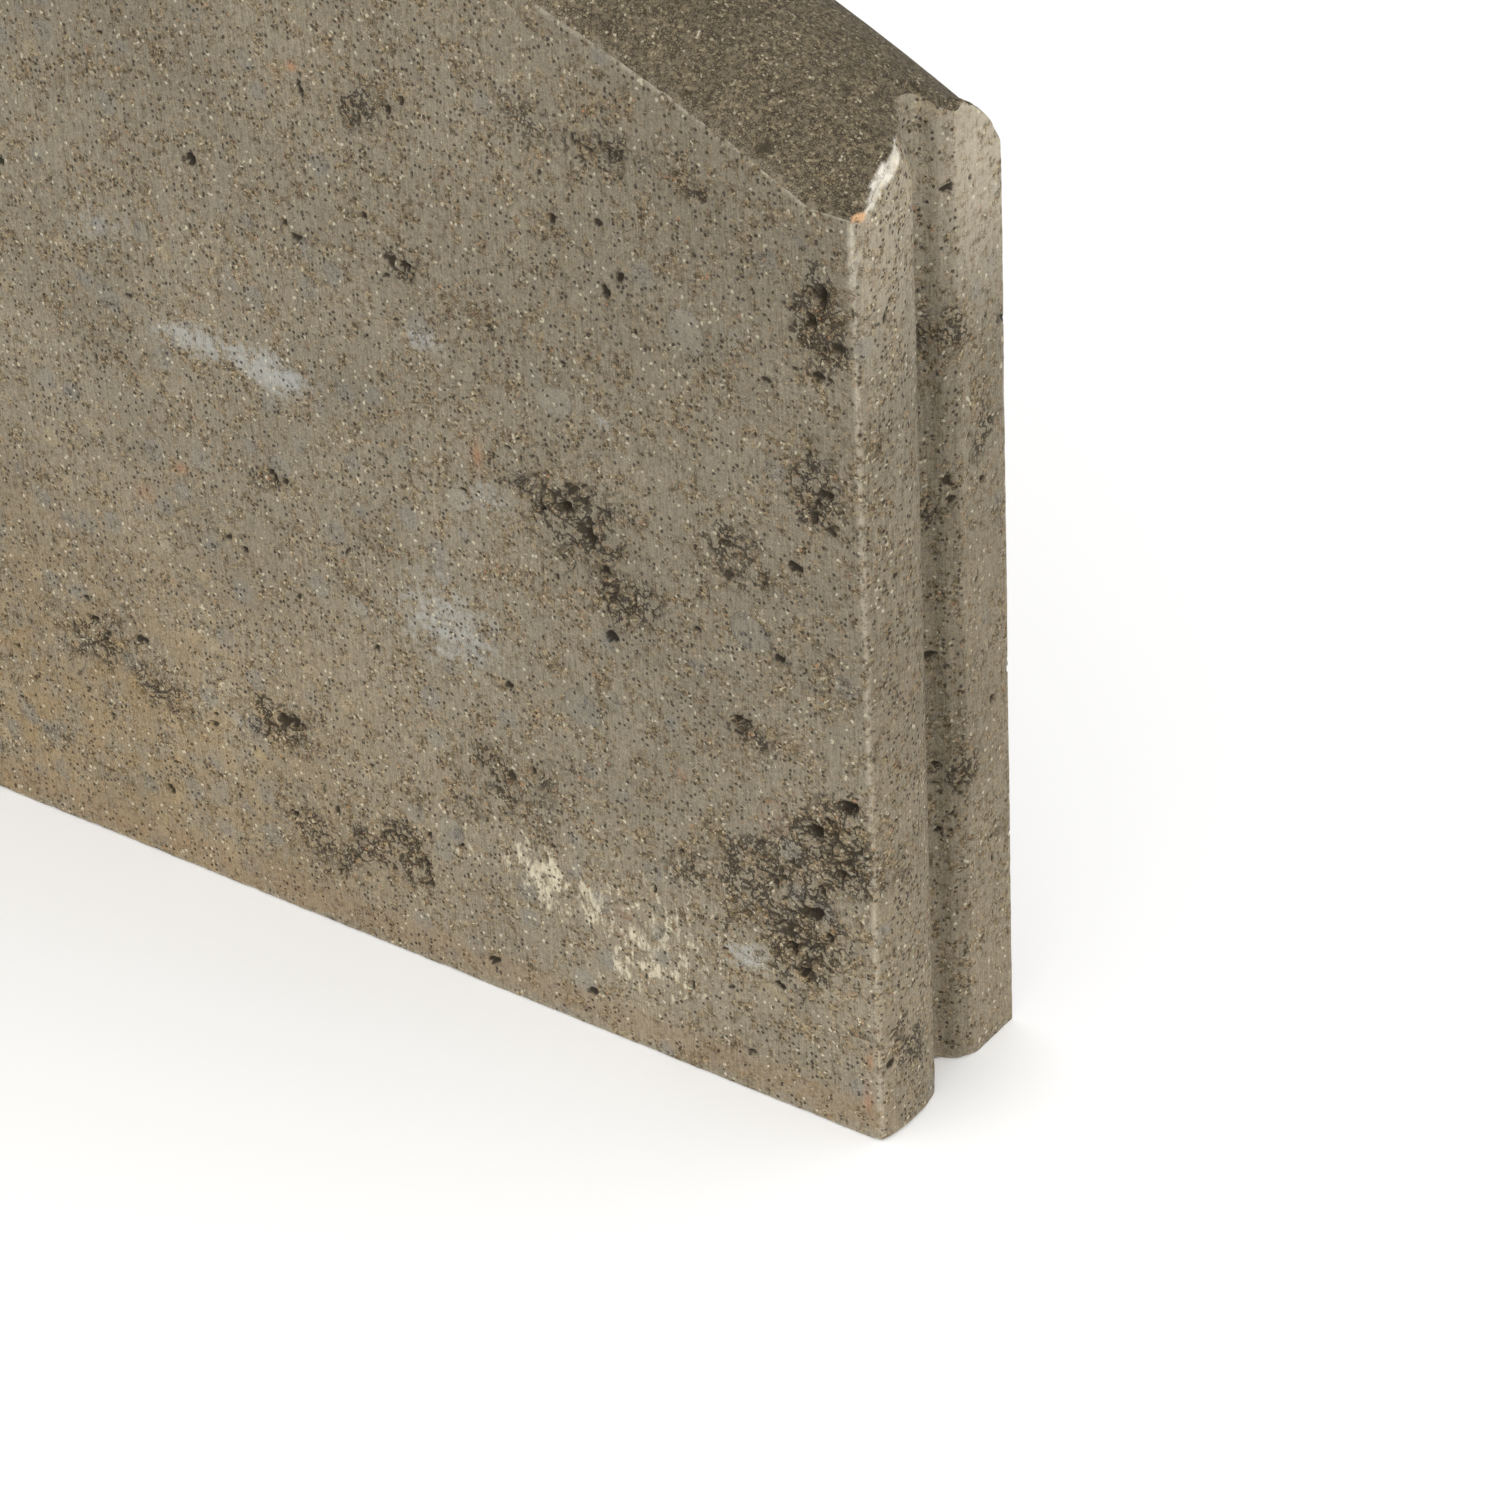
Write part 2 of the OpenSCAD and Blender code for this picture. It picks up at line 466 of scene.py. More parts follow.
@dataclass
class Weathering:
    """Where the board is pitted, bloomed, stained, worn and chipped, and where painted shade darkens its
    groove.
    """

    shape: BoardShape
    seed: int = 11
    # Crumbled spots of the front face
    crumbs: tuple[Mark, ...] = (
        Mark(9, 223, 8, 13),
        Mark(11, 179, 9, 12, 0.9),
        Mark(34, 155, 16, 12, 0.5),
        Mark(83, 150, 15, 10, 1.0),
        Mark(70, 133, 12, 8, 0.6),
        Mark(35, 107, 8, 4, 0.9),
        Mark(10, 84, 13, 14, 1.0),
        Mark(20, 52, 12, 15, 1.0),
        Mark(40, 62, 16, 12, 0.6),
        Mark(128, 204, 6, 5, 0.8),
        Mark(105, 197, 10, 6, 0.5),
        Mark(137, 243, 12, 7, 0.6),
        Mark(69, 250, 14, 8, 0.5),
        Mark(42, 245, 8, 5, 0.5),
        Mark(178, 133, 6, 5, 0.7),
        Mark(184, 58, 12, 8, 0.9),
        Mark(246, 64, 14, 9, 0.7),
        Mark(112, 64, 16, 12, 0.6),
        Mark(150, 30, 24, 10, 0.5),
    )
    # Crumbled spots of the grooved end, by distance from the front face and height
    end_crumbs: tuple[Mark, ...] = (
        Mark(38, 205, 8, 9, 0.9),
        Mark(40, 85, 7, 7, 0.8),
        Mark(30, 110, 6, 8, 0.5),
        Mark(34, 160, 5, 9, 0.5),
        Mark(8, 205, 6, 8, 0.3),
        Mark(50, 175, 8, 10, 0.4),
    )
    # Deep holes of the front face: width and height of each, with its depth as a share of its width
    holes: tuple[Mark, ...] = (
        Mark(9, 229, 1.6, 3.2, 1.1),
        Mark(5, 217, 2.0, 1.6, 0.9),
        Mark(12, 222, 1.5, 2.0, 0.9),
        Mark(9, 179, 2.6, 1.5, 1.1),
        Mark(13, 172, 1.6, 1.6, 0.9),
        Mark(36, 110, 3.8, 1.4, 1.2),
        Mark(38, 158, 2.4, 1.0, 0.8),
        Mark(84, 153, 2.2, 1.8, 1.0),
        Mark(78, 147, 1.6, 2.4, 0.9),
        Mark(90, 145, 1.4, 1.8, 0.8),
        Mark(6, 96, 3.2, 2.2, 1.1),
        Mark(16, 86, 2.6, 2.2, 1.1),
        Mark(9, 76, 2.2, 1.4, 1.0),
        Mark(17, 62, 3.0, 2.0, 1.2),
        Mark(14, 56, 2.0, 1.6, 1.0),
        Mark(22, 43, 2.0, 2.0, 1.0),
        Mark(29, 36, 2.4, 1.4, 0.8),
        Mark(127, 205, 1.8, 1.3, 1.0),
        Mark(177, 134, 1.4, 2.2, 1.0),
        Mark(183, 60, 4.2, 2.0, 0.8),
        Mark(231, 69, 3.0, 1.2, 0.9),
        Mark(247, 70, 2.0, 1.5, 0.8),
        Mark(70, 235, 1.2, 1.0, 0.8),
    )
    # Pale bloom on the front face
    blooms: tuple[Mark, ...] = (
        Mark(200, 167, 16, 6, 0.9),
        Mark(172, 164, 14, 7, 1.0),
        Mark(123, 187, 7, 4, 1.0),
        Mark(108, 149, 10, 5, 0.7),
        Mark(124, 108, 20, 15, 0.8),
        Mark(225, 190, 18, 10, 0.5),
        Mark(71, 179, 4, 3, 0.7),
        Mark(32, 212, 10, 9, 0.35),
        Mark(38, 42, 9, 6, 0.8),
    )
    # Lime-streaked stones low on the front face
    flecks: tuple[Mark, ...] = (
        Mark(100, 42, 17, 12, 0.9),
        Mark(70, 27, 20, 13, 1.0),
        Mark(60, 50, 18, 16, 0.7),
        Mark(130, 50, 25, 16, 0.4),
        Mark(180, 34, 40, 16, 0.4),
    )
    # Rust spots of the front face
    rusts: tuple[Mark, ...] = (
        Mark(156, 249, 1.4, 1.0, 0.8),
        Mark(110, 160, 1.4, 3.5, 0.5),
        Mark(208, 127, 2, 1.5, 0.5),
        Mark(55, 88, 1.5, 1.5, 0.4),
        Mark(2.5, 24, 1.0, 2.5, 0.5),
        Mark(3.5, 12, 1.3, 4, 0.5),
        Mark(222, 116, 3, 2, 0.3),
    )

    def marks(
        self, marks: tuple[Mark, ...], points: np.ndarray, side: Side, normals: np.ndarray
    ) -> np.ndarray:
        """Adds up marks on one face.

        Args:
            marks: The marks.
            points: Points in the frame's axes.
            side: The face that the marks are on.
            normals: The direction that the surface looks in at each point.

        Returns:
            Strength from 0 to about 1 at each point.
        """
        across, up = self.on_face(points, side)
        total = np.zeros(len(points))
        for mark in marks:
            reach = ((across - mark.across) / mark.wide) ** 2 + ((up - mark.up) / mark.tall) ** 2
            total += mark.strength * np.exp(-reach)
        return np.minimum(total, 1.2) * self.facing(points, normals, side)

    def on_face(self, points: np.ndarray, side: Side) -> tuple[np.ndarray, np.ndarray]:
        """Measures points along a face: from the grooved end or the front face, and up or back."""
        first, second = side.axes
        if first == 0:
            across = self.shape.half_length + self.shape.shift - points[:, 0]
        else:
            across = points[:, 1] + self.shape.half_thickness
        up = points[:, second] + (self.shape.half_thickness if second == 1 else 0)
        return across, up

    def facing(self, points: np.ndarray, normals: np.ndarray, side: Side) -> np.ndarray:
        """How much the surface belongs to a face, from 0 to 1.

        Args:
            points: Points in the frame's axes.
            normals: The direction that the surface looks in at each point.
            side: The face.

        Returns:
            1 where the surface looks the face's way and, on the long faces, lies near its plane.
        """
        look = np.clip(normals @ np.asarray(side.normal, float), 0, 1) ** 0.5
        if side in (Side.FRONT, Side.BACK):
            look = look * smooth(6, 3, self.shape.half_thickness - points[:, 1] * side.normal[1])
        return look

    def tone(self, points: np.ndarray) -> np.ndarray:
        """How light the cast surface is: darker towards the top, with painted shade in the groove."""
        shape = self.shape
        high = points[:, 2]
        across = shape.half_length + shape.shift - points[:, 0]
        long_face = np.interp(high, (0, 40, 110, 160, 250), (1.03, 1.0, 0.90, 0.85, 0.80))
        long_face = long_face * (1 - 0.12 * smooth(150, 60, across) * smooth(40, 90, high))
        end_face = np.interp(high, (0, 60, 120, 200, 240), (0.94, 0.86, 0.76, 0.78, 0.98))
        depth = points[:, 1] + shape.half_thickness
        # Painted shade: the groove is made up to 22 per cent darker, where the shade of the recess falls.
        groove = smooth(shape.front_ear - 0.6, shape.front_ear + 1.2, depth)
        groove = groove * smooth(0.8, -1.6, depth - shape.groove_centre - shape.groove_width / 2)
        end = smooth(9, 5, shape.half_length - points[:, 0]) * smooth(1.0, 2.5, depth)
        return long_face + end * (end_face * (1 - 0.22 * groove) - long_face)

    def unseen(self, points: np.ndarray, normals: np.ndarray) -> np.ndarray:
        """1 on the back, the far end and the far stretch of the front, which get scattered marks."""
        far = smooth(290, 350, self.shape.half_length - points[:, 0])
        far = far * self.facing(points, normals, Side.FRONT)
        back = self.facing(points, normals, Side.BACK)
        return np.clip(back + self.facing(points, normals, Side.TONGUE_END) + far, 0, 1)

    def crumbling(self, points: np.ndarray, normals: np.ndarray) -> np.ndarray:
        """How crumbled the surface is, from 0 to 1."""
        here = self.marks(self.crumbs, points, Side.FRONT, normals)
        here = here + self.marks(self.end_crumbs, points, Side.GROOVE_END, normals)
        scattered = smooth(0.2, 0.7, Noise(self.seed).layered(points, 26, 2))
        low = smooth(150, 20, points[:, 2])
        upright = 1 - self.facing(points, normals, Side.TOP)
        share = 0.2 + 0.6 * self.unseen(points, normals) + 0.25 * low
        return np.clip(here + scattered * upright * share, 0, 1)

    def looks(self, points: np.ndarray, normals: np.ndarray) -> dict[str, np.ndarray]:
        """Works out what the materials read at each point.

        Args:
            points: Points in the frame's axes.
            normals: The direction that the surface looks in at each point.

        Returns:
            Values from 0 to 1 by name.
        """
        unseen = self.unseen(points, normals)
        across, _ = self.on_face(points, Side.FRONT)
        front = self.facing(points, normals, Side.FRONT)
        end = self.facing(points, normals, Side.GROOVE_END)
        high = points[:, 2]
        bloom = self.marks(self.blooms, points, Side.FRONT, normals)
        bloom = bloom + unseen * smooth(0.35, 0.8, Noise(self.seed + 1).layered(points, 34, 2))
        fleck = self.marks(self.flecks, points, Side.FRONT, normals)
        fleck = fleck + unseen * smooth(110, 10, high) * 0.6
        warm = front * smooth(90, 260, across) * smooth(150, 30, high)
        warm = warm + unseen * smooth(140, 20, high) * 0.7
        warm = np.clip(warm + 0.25 * end * smooth(200, 120, high), 0, 1)
        coarse = np.clip(front * smooth(60, 230, across + 0.7 * (130 - high)) + 0.6 * unseen, 0, 1)
        pale = end * smooth(190, 245, high) * (0.45 + 0.55 * smooth(5, 20, points[:, 1]))
        # A brownish band just above the bottom of the front face.
        band = front * smooth(14, 9, high) * smooth(1.5, 5, high)
        rust = self.marks(self.rusts, points, Side.FRONT, normals)
        return {
            "bloom": np.clip(bloom, 0, 1),
            "fleck": np.clip(fleck, 0, 1),
            "warm": warm,
            "coarse": coarse,
            "pale": pale,
            "band": band,
            # The tone carries the painted shade of the groove.
            "tone": self.tone(points),
            "rust": np.clip(rust, 0, 1),
            "crumble": self.crumbling(points, normals),
        }


@dataclass
class BoardSkin:
    """The board's outer skin as one closed grid, worn and pitted, then cut into core and facing.

    Opposite faces share their columns, and faces that are little seen use only some of them.
    """

    shape: BoardShape
    weathering: Weathering
    stones: list[Stone]
    fine: float = 0.85
    coarse: float = 2.4
    fine_from: float = -60
    core_rows: int = 312
    facing_rows: int = 12
    across_columns: int = 84
    skip: int = 3
    cap_skip: int = 6
    seed: int = 23
    small_pits: dict[Side, int] = field(
        default_factory=lambda: {
            Side.FRONT: 420,
            Side.BACK: 200,
            Side.GROOVE_END: 70,
            Side.TONGUE_END: 30,
        }
    )

    def columns(self) -> np.ndarray:
        """Places of the columns along the board, close near the grooved end."""
        half = self.shape.half_length
        dense = np.linspace(-half, half, 4001)
        knots = (-half, self.fine_from - 50, self.fine_from, half)
        spacing = np.interp(dense, knots, (self.coarse, self.coarse, self.fine, self.fine))
        total = np.concatenate([[0], np.cumsum(np.diff(dense) / spacing[1:])])
        count = self.cap_skip * round(total[-1] / self.cap_skip)
        return np.interp(np.linspace(0, total[-1], count + 1), total, dense)

    def depths(self) -> np.ndarray:
        """Distances of the columns from the front face, close where the section turns quickly."""
        dense = np.linspace(0, self.shape.thickness, 6001)
        out = np.gradient(self.shape.end_profile(dense), dense)
        rise = np.gradient(self.shape.crown(np.zeros_like(dense), dense, 0), dense)
        density = np.sqrt(1 + np.minimum(out**2, 6) + rise**2)
        total = np.concatenate([[0], np.cumsum(density[1:])])
        return np.interp(np.linspace(0, total[-1], self.across_columns + 1), total, dense)

    def place(self, along: np.ndarray, depth: np.ndarray, level: np.ndarray) -> np.ndarray:
        """Puts grid points on the board.

        Args:
            along: Place along the board, from joint to joint.
            depth: Distance from the front face.
            level: 0 at the underside, 1 at the joint below the facing, 2 at the top.

        Returns:
            Points in the frame's axes.
        """
        shape = self.shape
        near_end = np.clip(1 - (shape.half_length - np.abs(along)) / shape.profile_reach, 0, 1)
        x = along + shape.end_profile(depth) * near_end
        floor = shape.facing_floor(x, depth)
        z = np.where(level <= 1, level * floor, floor + (level - 1) * (shape.top(x, depth) - floor))
        return np.stack([x + shape.shift, depth - shape.half_thickness, z], axis=1)

    def build(self) -> None:
        """Makes the grid, wears it, and keeps the points, faces and looks."""
        along, depth = self.columns(), self.depths()
        level = np.concatenate(
            [np.linspace(0, 1, self.core_rows + 1), np.linspace(1, 2, self.facing_rows + 1)[1:]]
        )
        counts = (len(along), len(depth), len(level))
        numbers = np.arange(counts[0] * counts[1] * counts[2], dtype=np.int64).reshape(counts)
        seam, top = self.core_rows, counts[2] - 1
        self.core = self.walls(numbers[:, :, : seam + 1])
        self.core[Side.UNDERSIDE] = sheet(numbers[:, :, 0], self.skip).flipped()
        self.facing = self.walls(numbers[:, :, seam:])
        self.facing[Side.TOP] = sheet(numbers[:, :, top], 1)
        self.cap = sheet(numbers[:, :, seam], self.cap_skip)
        shell = Faces.joined([*self.core.values(), *self.facing.values()])
        used = np.unique(
            np.concatenate([part.ravel() for part in (shell.quads, shell.triangles, self.cap.quads)])
        )
        index = np.full(numbers.size, -1)
        index[used] = np.arange(len(used))
        self.shell = shell.renumbered(index)
        self.core = {side: faces.renumbered(index) for side, faces in self.core.items()}
        self.facing = {side: faces.renumbered(index) for side, faces in self.facing.items()}
        self.cap = self.cap.renumbered(index)
        i, j, k = np.unravel_index(used, counts)
        self.along, self.depth, self.level = along[i], depth[j], level[k]
        self.points = self.place(self.along, self.depth, self.level)
        self.normals = self.shell.normals(self.points)
        self.on_shell = np.linalg.norm(self.normals, axis=1) > 0.5
        LOG.info("skin grid %s: %d points, %d faces", counts, len(used), shell.count())
        self.wear()

    def walls(self, numbers: np.ndarray) -> dict[Side, Faces]:
        """Covers the four upright faces of a block of grid points."""
        return {
            Side.FRONT: sheet(numbers[:, 0, :], 1),
            Side.BACK: sheet(numbers[:, -1, :], self.skip).flipped(),
            Side.GROOVE_END: sheet(numbers[-1, :, :], 1),
            Side.TONGUE_END: sheet(numbers[0, :, :], self.skip).flipped(),
        }

    def edge_distance(self) -> tuple[np.ndarray, np.ndarray]:
        """How far each point is from the nearest arris, and whether that arris is at the underside."""
        shape = self.shape
        x = self.points[:, 0] - shape.shift
        gaps = np.stack(
            [
                self.depth,
                shape.thickness - self.depth,
                shape.half_length - self.along,
                shape.half_length + self.along,
                shape.top(x, self.depth) - self.points[:, 2],
                self.points[:, 2],
            ]
        )
        order = np.argsort(gaps, axis=0)[:2]
        return np.take_along_axis(gaps, order, axis=0)[1], (order == 5).any(axis=0)

    def wear(self) -> None:
        """Rounds the arrises, roughens the faces, and cuts the chip, pits and beds of the stones."""
        noise = Noise(self.seed)
        start, normals = self.points.copy(), self.normals
        self.points[:, 2] -= self.sag(start)
        self.points[:, 0] -= self.flare(start)
        gap, at_base = self.edge_distance()
        lips = np.minimum(
            np.abs(self.depth - self.shape.front_ear),
            np.abs(self.depth - self.shape.groove_centre - self.shape.groove_width / 2),
        )
        on_end = np.abs(normals[:, 0]) > 0.4
        nearest = np.where(on_end, np.minimum(gap, lips), gap)
        soft = smooth(3.2, 0.4, nearest) * (0.75 + 0.25 * noise.layered(start, 9, 2))
        crisp = smooth(40, 44, self.depth) * smooth(12, 6, self.shape.half_length - self.along)
        soft = soft * np.where(at_base, 0.35, 1.0) * (1 - 0.8 * crisp) * self.on_shell
        for _ in range(10):
            self.points += 0.5 * soft[:, None] * (self.shell.averages(self.points) - self.points)
        self.looks = self.weathering.looks(start, normals)
        self.cavity_shade = np.zeros(len(start))
        dip = 0.09 * (1 - noise.layered(start, 30, 2))
        upright = 1 - np.abs(normals[:, 2])
        dip += 0.045 * (1 + noise.at(start, (1.6, 1.6, 34))) * upright
        dip += 0.045 * (1 + noise.at(start, 2.3))
        crumble = self.looks["crumble"]
        crevice = self.crevices(start, 5.2, crumble)
        dip += 0.9 * crevice + 0.15 * crumble * (1 + noise.at(start, 4))
        dip += self.ragged_edge(start, gap, noise)
        pits = self.pits(start, normals)
        dip += pits
        # Painted shade: the pits and crevices are kept so that the colour darkens them as well as the dent.
        self.cavity_shade = np.maximum(smooth(0.2, 0.9, pits), crevice)
        beds = self.stone_beds(start, normals)
        dip = np.maximum(dip, beds)
        self.points -= np.minimum(dip, 3.5)[:, None] * normals * self.on_shell[:, None]
        self.chip(start)
        self.looks["cavity_shade"] = self.cavity_shade
        # Painted highlight along the arrises: a lighter rim within about 1.6 mm of each.
        self.looks["edge"] = smooth(1.6, 0.2, gap) * self.on_shell
        self.normals = self.shell.normals(self.points)

    def sag(self, points: np.ndarray) -> np.ndarray:
        """How much lower the worn top lies towards the grooved end, most of all round the groove's mouth."""
        out = self.shape.half_length - self.along
        down = self.shape.top(points[:, 0] - self.shape.shift, self.depth) - points[:, 2]
        mouth = smooth(18, 24, self.depth) * smooth(45, 41.5, self.depth)
        mouth = mouth * (1.3 * smooth(9, 0, out) + 1.6 * smooth(3.5, 0, out))
        crown = smooth(12, 32, self.depth) * smooth(60, 54, self.depth)
        crown = 1.6 * crown * smooth(150, 60, out) * np.maximum(smooth(0.5, 5, out), mouth / 2.9)
        return np.maximum(mouth, crown) * smooth(18, 0, down)

    def flare(self, points: np.ndarray) -> np.ndarray:
        """How far the lip between the front ear and the groove is broken back at the top."""
        out = self.shape.half_length - self.along
        down = self.shape.top(points[:, 0] - self.shape.shift, self.depth) - points[:, 2]
        lip = smooth(17.5, 20.5, self.depth) * smooth(33, 27, self.depth)
        return 3.2 * lip * smooth(12, 0, down) * smooth(14, 0, out)

    def crevices(self, points: np.ndarray, size: float, crumble: np.ndarray) -> np.ndarray:
        """Cuts gaps between lumps of the mix where the surface is crumbled.

        Args:
            points: Points in the frame's axes.
            size: Width of a lump.
            crumble: How crumbled the surface is at each point.

        Returns:
            0 on the lumps to 1 in the gaps between them.
        """
        noise = Noise(self.seed + 7)
        where = (crumble > 0.12) & self.on_shell
        found = points[where]
        bend = np.stack([noise.layered(found + 60 * axis, 4.0, 2) for axis in range(3)], axis=1)
        found = (found + 2.0 * bend) / size
        cell = np.floor(found).astype(np.int64)
        nearest, second = np.full(len(found), 9.0), np.full(len(found), 9.0)
        for step in itertools.product((-1, 0, 1), repeat=3):
            other = cell + step
            jitter = np.stack([noise.corner(other + 101 * axis) for axis in range(3)], axis=1)
            away = np.linalg.norm(other + 0.5 + 0.45 * jitter - found, axis=1)
            second = np.minimum(second, np.maximum(nearest, away))
            nearest = np.minimum(nearest, away)
        amount = 0.75 * crumble[where] + 0.5 * noise.at(points[where], 5.0)
        width = 0.2 * smooth(0.1, 1.0, amount)
        result = np.zeros(len(points))
        result[where] = smooth(0, 0.13, width - (second - nearest))
        return result

    def ragged_edge(self, points: np.ndarray, gap: np.ndarray, noise: Noise) -> np.ndarray:
        """Small bites out of the arrises, mostly along the top."""
        bite = smooth(0.15, 0.75, noise.at(points, 4.2)) + 0.5 * smooth(0.2, 0.8, noise.at(points + 50, 1.9))
        top = smooth(0.6, 0.0, 2 - self.level)
        calm = np.where(self.depth > 42, 0.3, 1.0)
        return bite * smooth(2.4, 0.2, gap) * (0.18 + 0.8 * top) * calm

    def pits(self, points: np.ndarray, normals: np.ndarray) -> np.ndarray:
        """Depth of the pits at each point: the named holes and a scatter of small ones."""
        draw = np.random.default_rng(self.seed)
        noise = Noise(self.seed + 3)
        dip = np.zeros(len(points))
        rough = noise.at(points, 1.3)
        for side, count in self.small_pits.items():
            here = np.nonzero(self.weathering.facing(points, normals, side) > 0.6)[0]
            across, up = self.weathering.on_face(points[here], side)
            places = self.scatter(side, count, draw)
            if side is Side.FRONT:
                places += list(self.weathering.holes)
            for mark in places:
                near = np.abs(across - mark.across) < 2 * mark.wide + 1
                near &= np.abs(up - mark.up) < 2 * mark.tall + 1
                spot = here[near]
                reach = np.hypot((across[near] - mark.across) / mark.wide, (up[near] - mark.up) / mark.tall)
                reach = reach + 0.4 * rough[spot]
                depth = mark.strength * min(mark.wide, mark.tall) * 1.5
                dip[spot] = np.maximum(dip[spot], depth * (1 - smooth(0.25, 1.1, reach)))
        return dip

    def scatter(self, side: Side, count: int, draw: np.random.Generator) -> list[Mark]:
        """Draws small pits over a face, most of them where it is crumbled."""
        shape = self.shape
        long_face = side in (Side.FRONT, Side.BACK)
        wide = shape.length if long_face else shape.thickness
        found: list[Mark] = []
        while len(found) < count:
            across, up = draw.uniform(0, wide), draw.uniform(4, 320)
            if long_face:
                x, y = shape.half_length + shape.shift - across, side.normal[1] * shape.half_thickness
            else:
                x, y = shape.half_length, across - shape.half_thickness
            place = np.array([[x, y, up]])
            keep = 0.12 + 0.88 * self.weathering.crumbling(place, np.array([side.normal], float))[0]
            size = 0.75 + 0.5 * draw.gamma(1.4, 0.55)
            lean = draw.uniform(0.6, 1.5)
            if draw.uniform() < keep:
                found.append(Mark(across, up, size * lean, size / lean, draw.uniform(0.5, 1.0)))
        return found

    def stone_beds(self, points: np.ndarray, normals: np.ndarray) -> np.ndarray:
        """Depth that the skin drops to, to show each stone with a little moat round it."""
        bed = np.zeros(len(points))
        for front, side in ((True, Side.FRONT), (False, Side.BACK)):
            here = np.nonzero(self.weathering.facing(points, normals, side) > 0.6)[0]
            for stone in (stone for stone in self.stones if stone.front is front):
                dx, dz = points[here, 0] - stone.x, points[here, 2] - stone.z
                near = dx**2 + dz**2 < (1.6 * stone.radius) ** 2
                reach = np.hypot(dx[near], dz[near]) / stone.outline(np.arctan2(dz[near], dx[near]))
                depth = 1.0 * (1 - smooth(0.90, 1.01 + 0.06 * stone.moat, reach))
                bed[here[near]] = np.maximum(bed[here[near]], depth)
        return bed

    def chip(self, start: np.ndarray) -> None:
        """Breaks the top edge off the front ear of the grooved end."""
        shape, noise = self.shape, Noise(self.seed + 9)
        x = start[:, 0] - shape.shift
        out = shape.half_length - self.along
        down = shape.top(x, self.depth) - start[:, 2]
        rough = noise.layered(start, 3.2, 3)
        size = 2.3 * smooth(2, 12, self.depth) * smooth(22, 15, self.depth) * (1 + 0.8 * rough)
        corner = 1.3 * smooth(5.0, 3.4, self.depth) * smooth(0.4, 1.6, self.depth) * (1 + 0.6 * rough)
        size = np.maximum(size, corner)
        cut = np.where((self.along > 0) & self.on_shell & (self.depth < 24), size - out - down, -1)
        self.points[:, 0] -= np.clip(cut, 0, None) * 0.5
        self.points[:, 2] -= np.clip(cut, 0, None) * 0.5
        broken = smooth(-0.15, 0.35, cut)
        worn = smooth(1.9, 0.6, np.maximum(out, self.depth) - 1.2 * rough)
        worn = worn * smooth(229, 236, start[:, 2]) * smooth(251, 248, start[:, 2]) * (self.along > 0)
        self.looks["chip"] = np.maximum(broken * smooth(3.8, 5.2, self.depth), 0.3 * worn)
        self.looks["tan"] = broken * smooth(5.4, 4.2, self.depth)


@dataclass
class ConcretePiece:
    """One cast piece cut from the board's skin."""

    name: str
    node: str
    slot: str
    skin: BoardSkin

    def build(
        self, walls: dict[Side, Faces], cap: Faces, materials: dict[Side, bpy.types.Material]
    ) -> bpy.types.Object:
        """Closes the piece with its side of the joint and makes the object.

        Args:
            walls: The piece's outer faces by side.
            cap: Its faces at the joint between core and facing.
            materials: A material for each side.

        Returns:
            The finished piece.
        """
        parts = [*walls.values(), cap]
        faces = Faces.joined(parts)
        used = np.unique(np.concatenate([faces.quads.ravel(), faces.triangles.ravel()]))
        index = np.full(len(self.skin.points), -1)
        index[used] = np.arange(len(used))
        piece = write_mesh(self.name, self.skin.points[used], faces.renumbered(index))
        write_values(piece, {name: values[used] for name, values in self.skin.looks.items()})
        sides = [*walls, None]
        finishes = list(dict.fromkeys(materials.values()))
        for material in finishes:
            piece.data.materials.append(material)
        slots = [finishes.index(materials.get(side, finishes[0])) for side in sides]
        worn = [np.full(len(part.quads), slot) for part, slot in zip(parts, slots, strict=True)]
        worn += [np.full(len(part.triangles), slot) for part, slot in zip(parts, slots, strict=True)]
        piece.data.polygons.foreach_set("material_index", np.concatenate(worn).astype(np.int32))
        round_parts = [np.full(len(part.quads), part is not cap) for part in parts]
        round_parts += [np.full(len(part.triangles), part is not cap) for part in parts]
        piece.data.polygons.foreach_set("use_smooth", np.concatenate(round_parts))
        inside = ~self.skin.on_shell[used, None]
        looking = np.where(inside, (0.0, 0.0, 1.0), self.skin.normals[used])
        piece.data.normals_split_custom_set_from_vertices(looking.tolist())
        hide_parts(self.node)
        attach(piece, BODY)
        LOG.info("%s: %d points, %d faces", self.name, len(used), faces.count())
        return piece


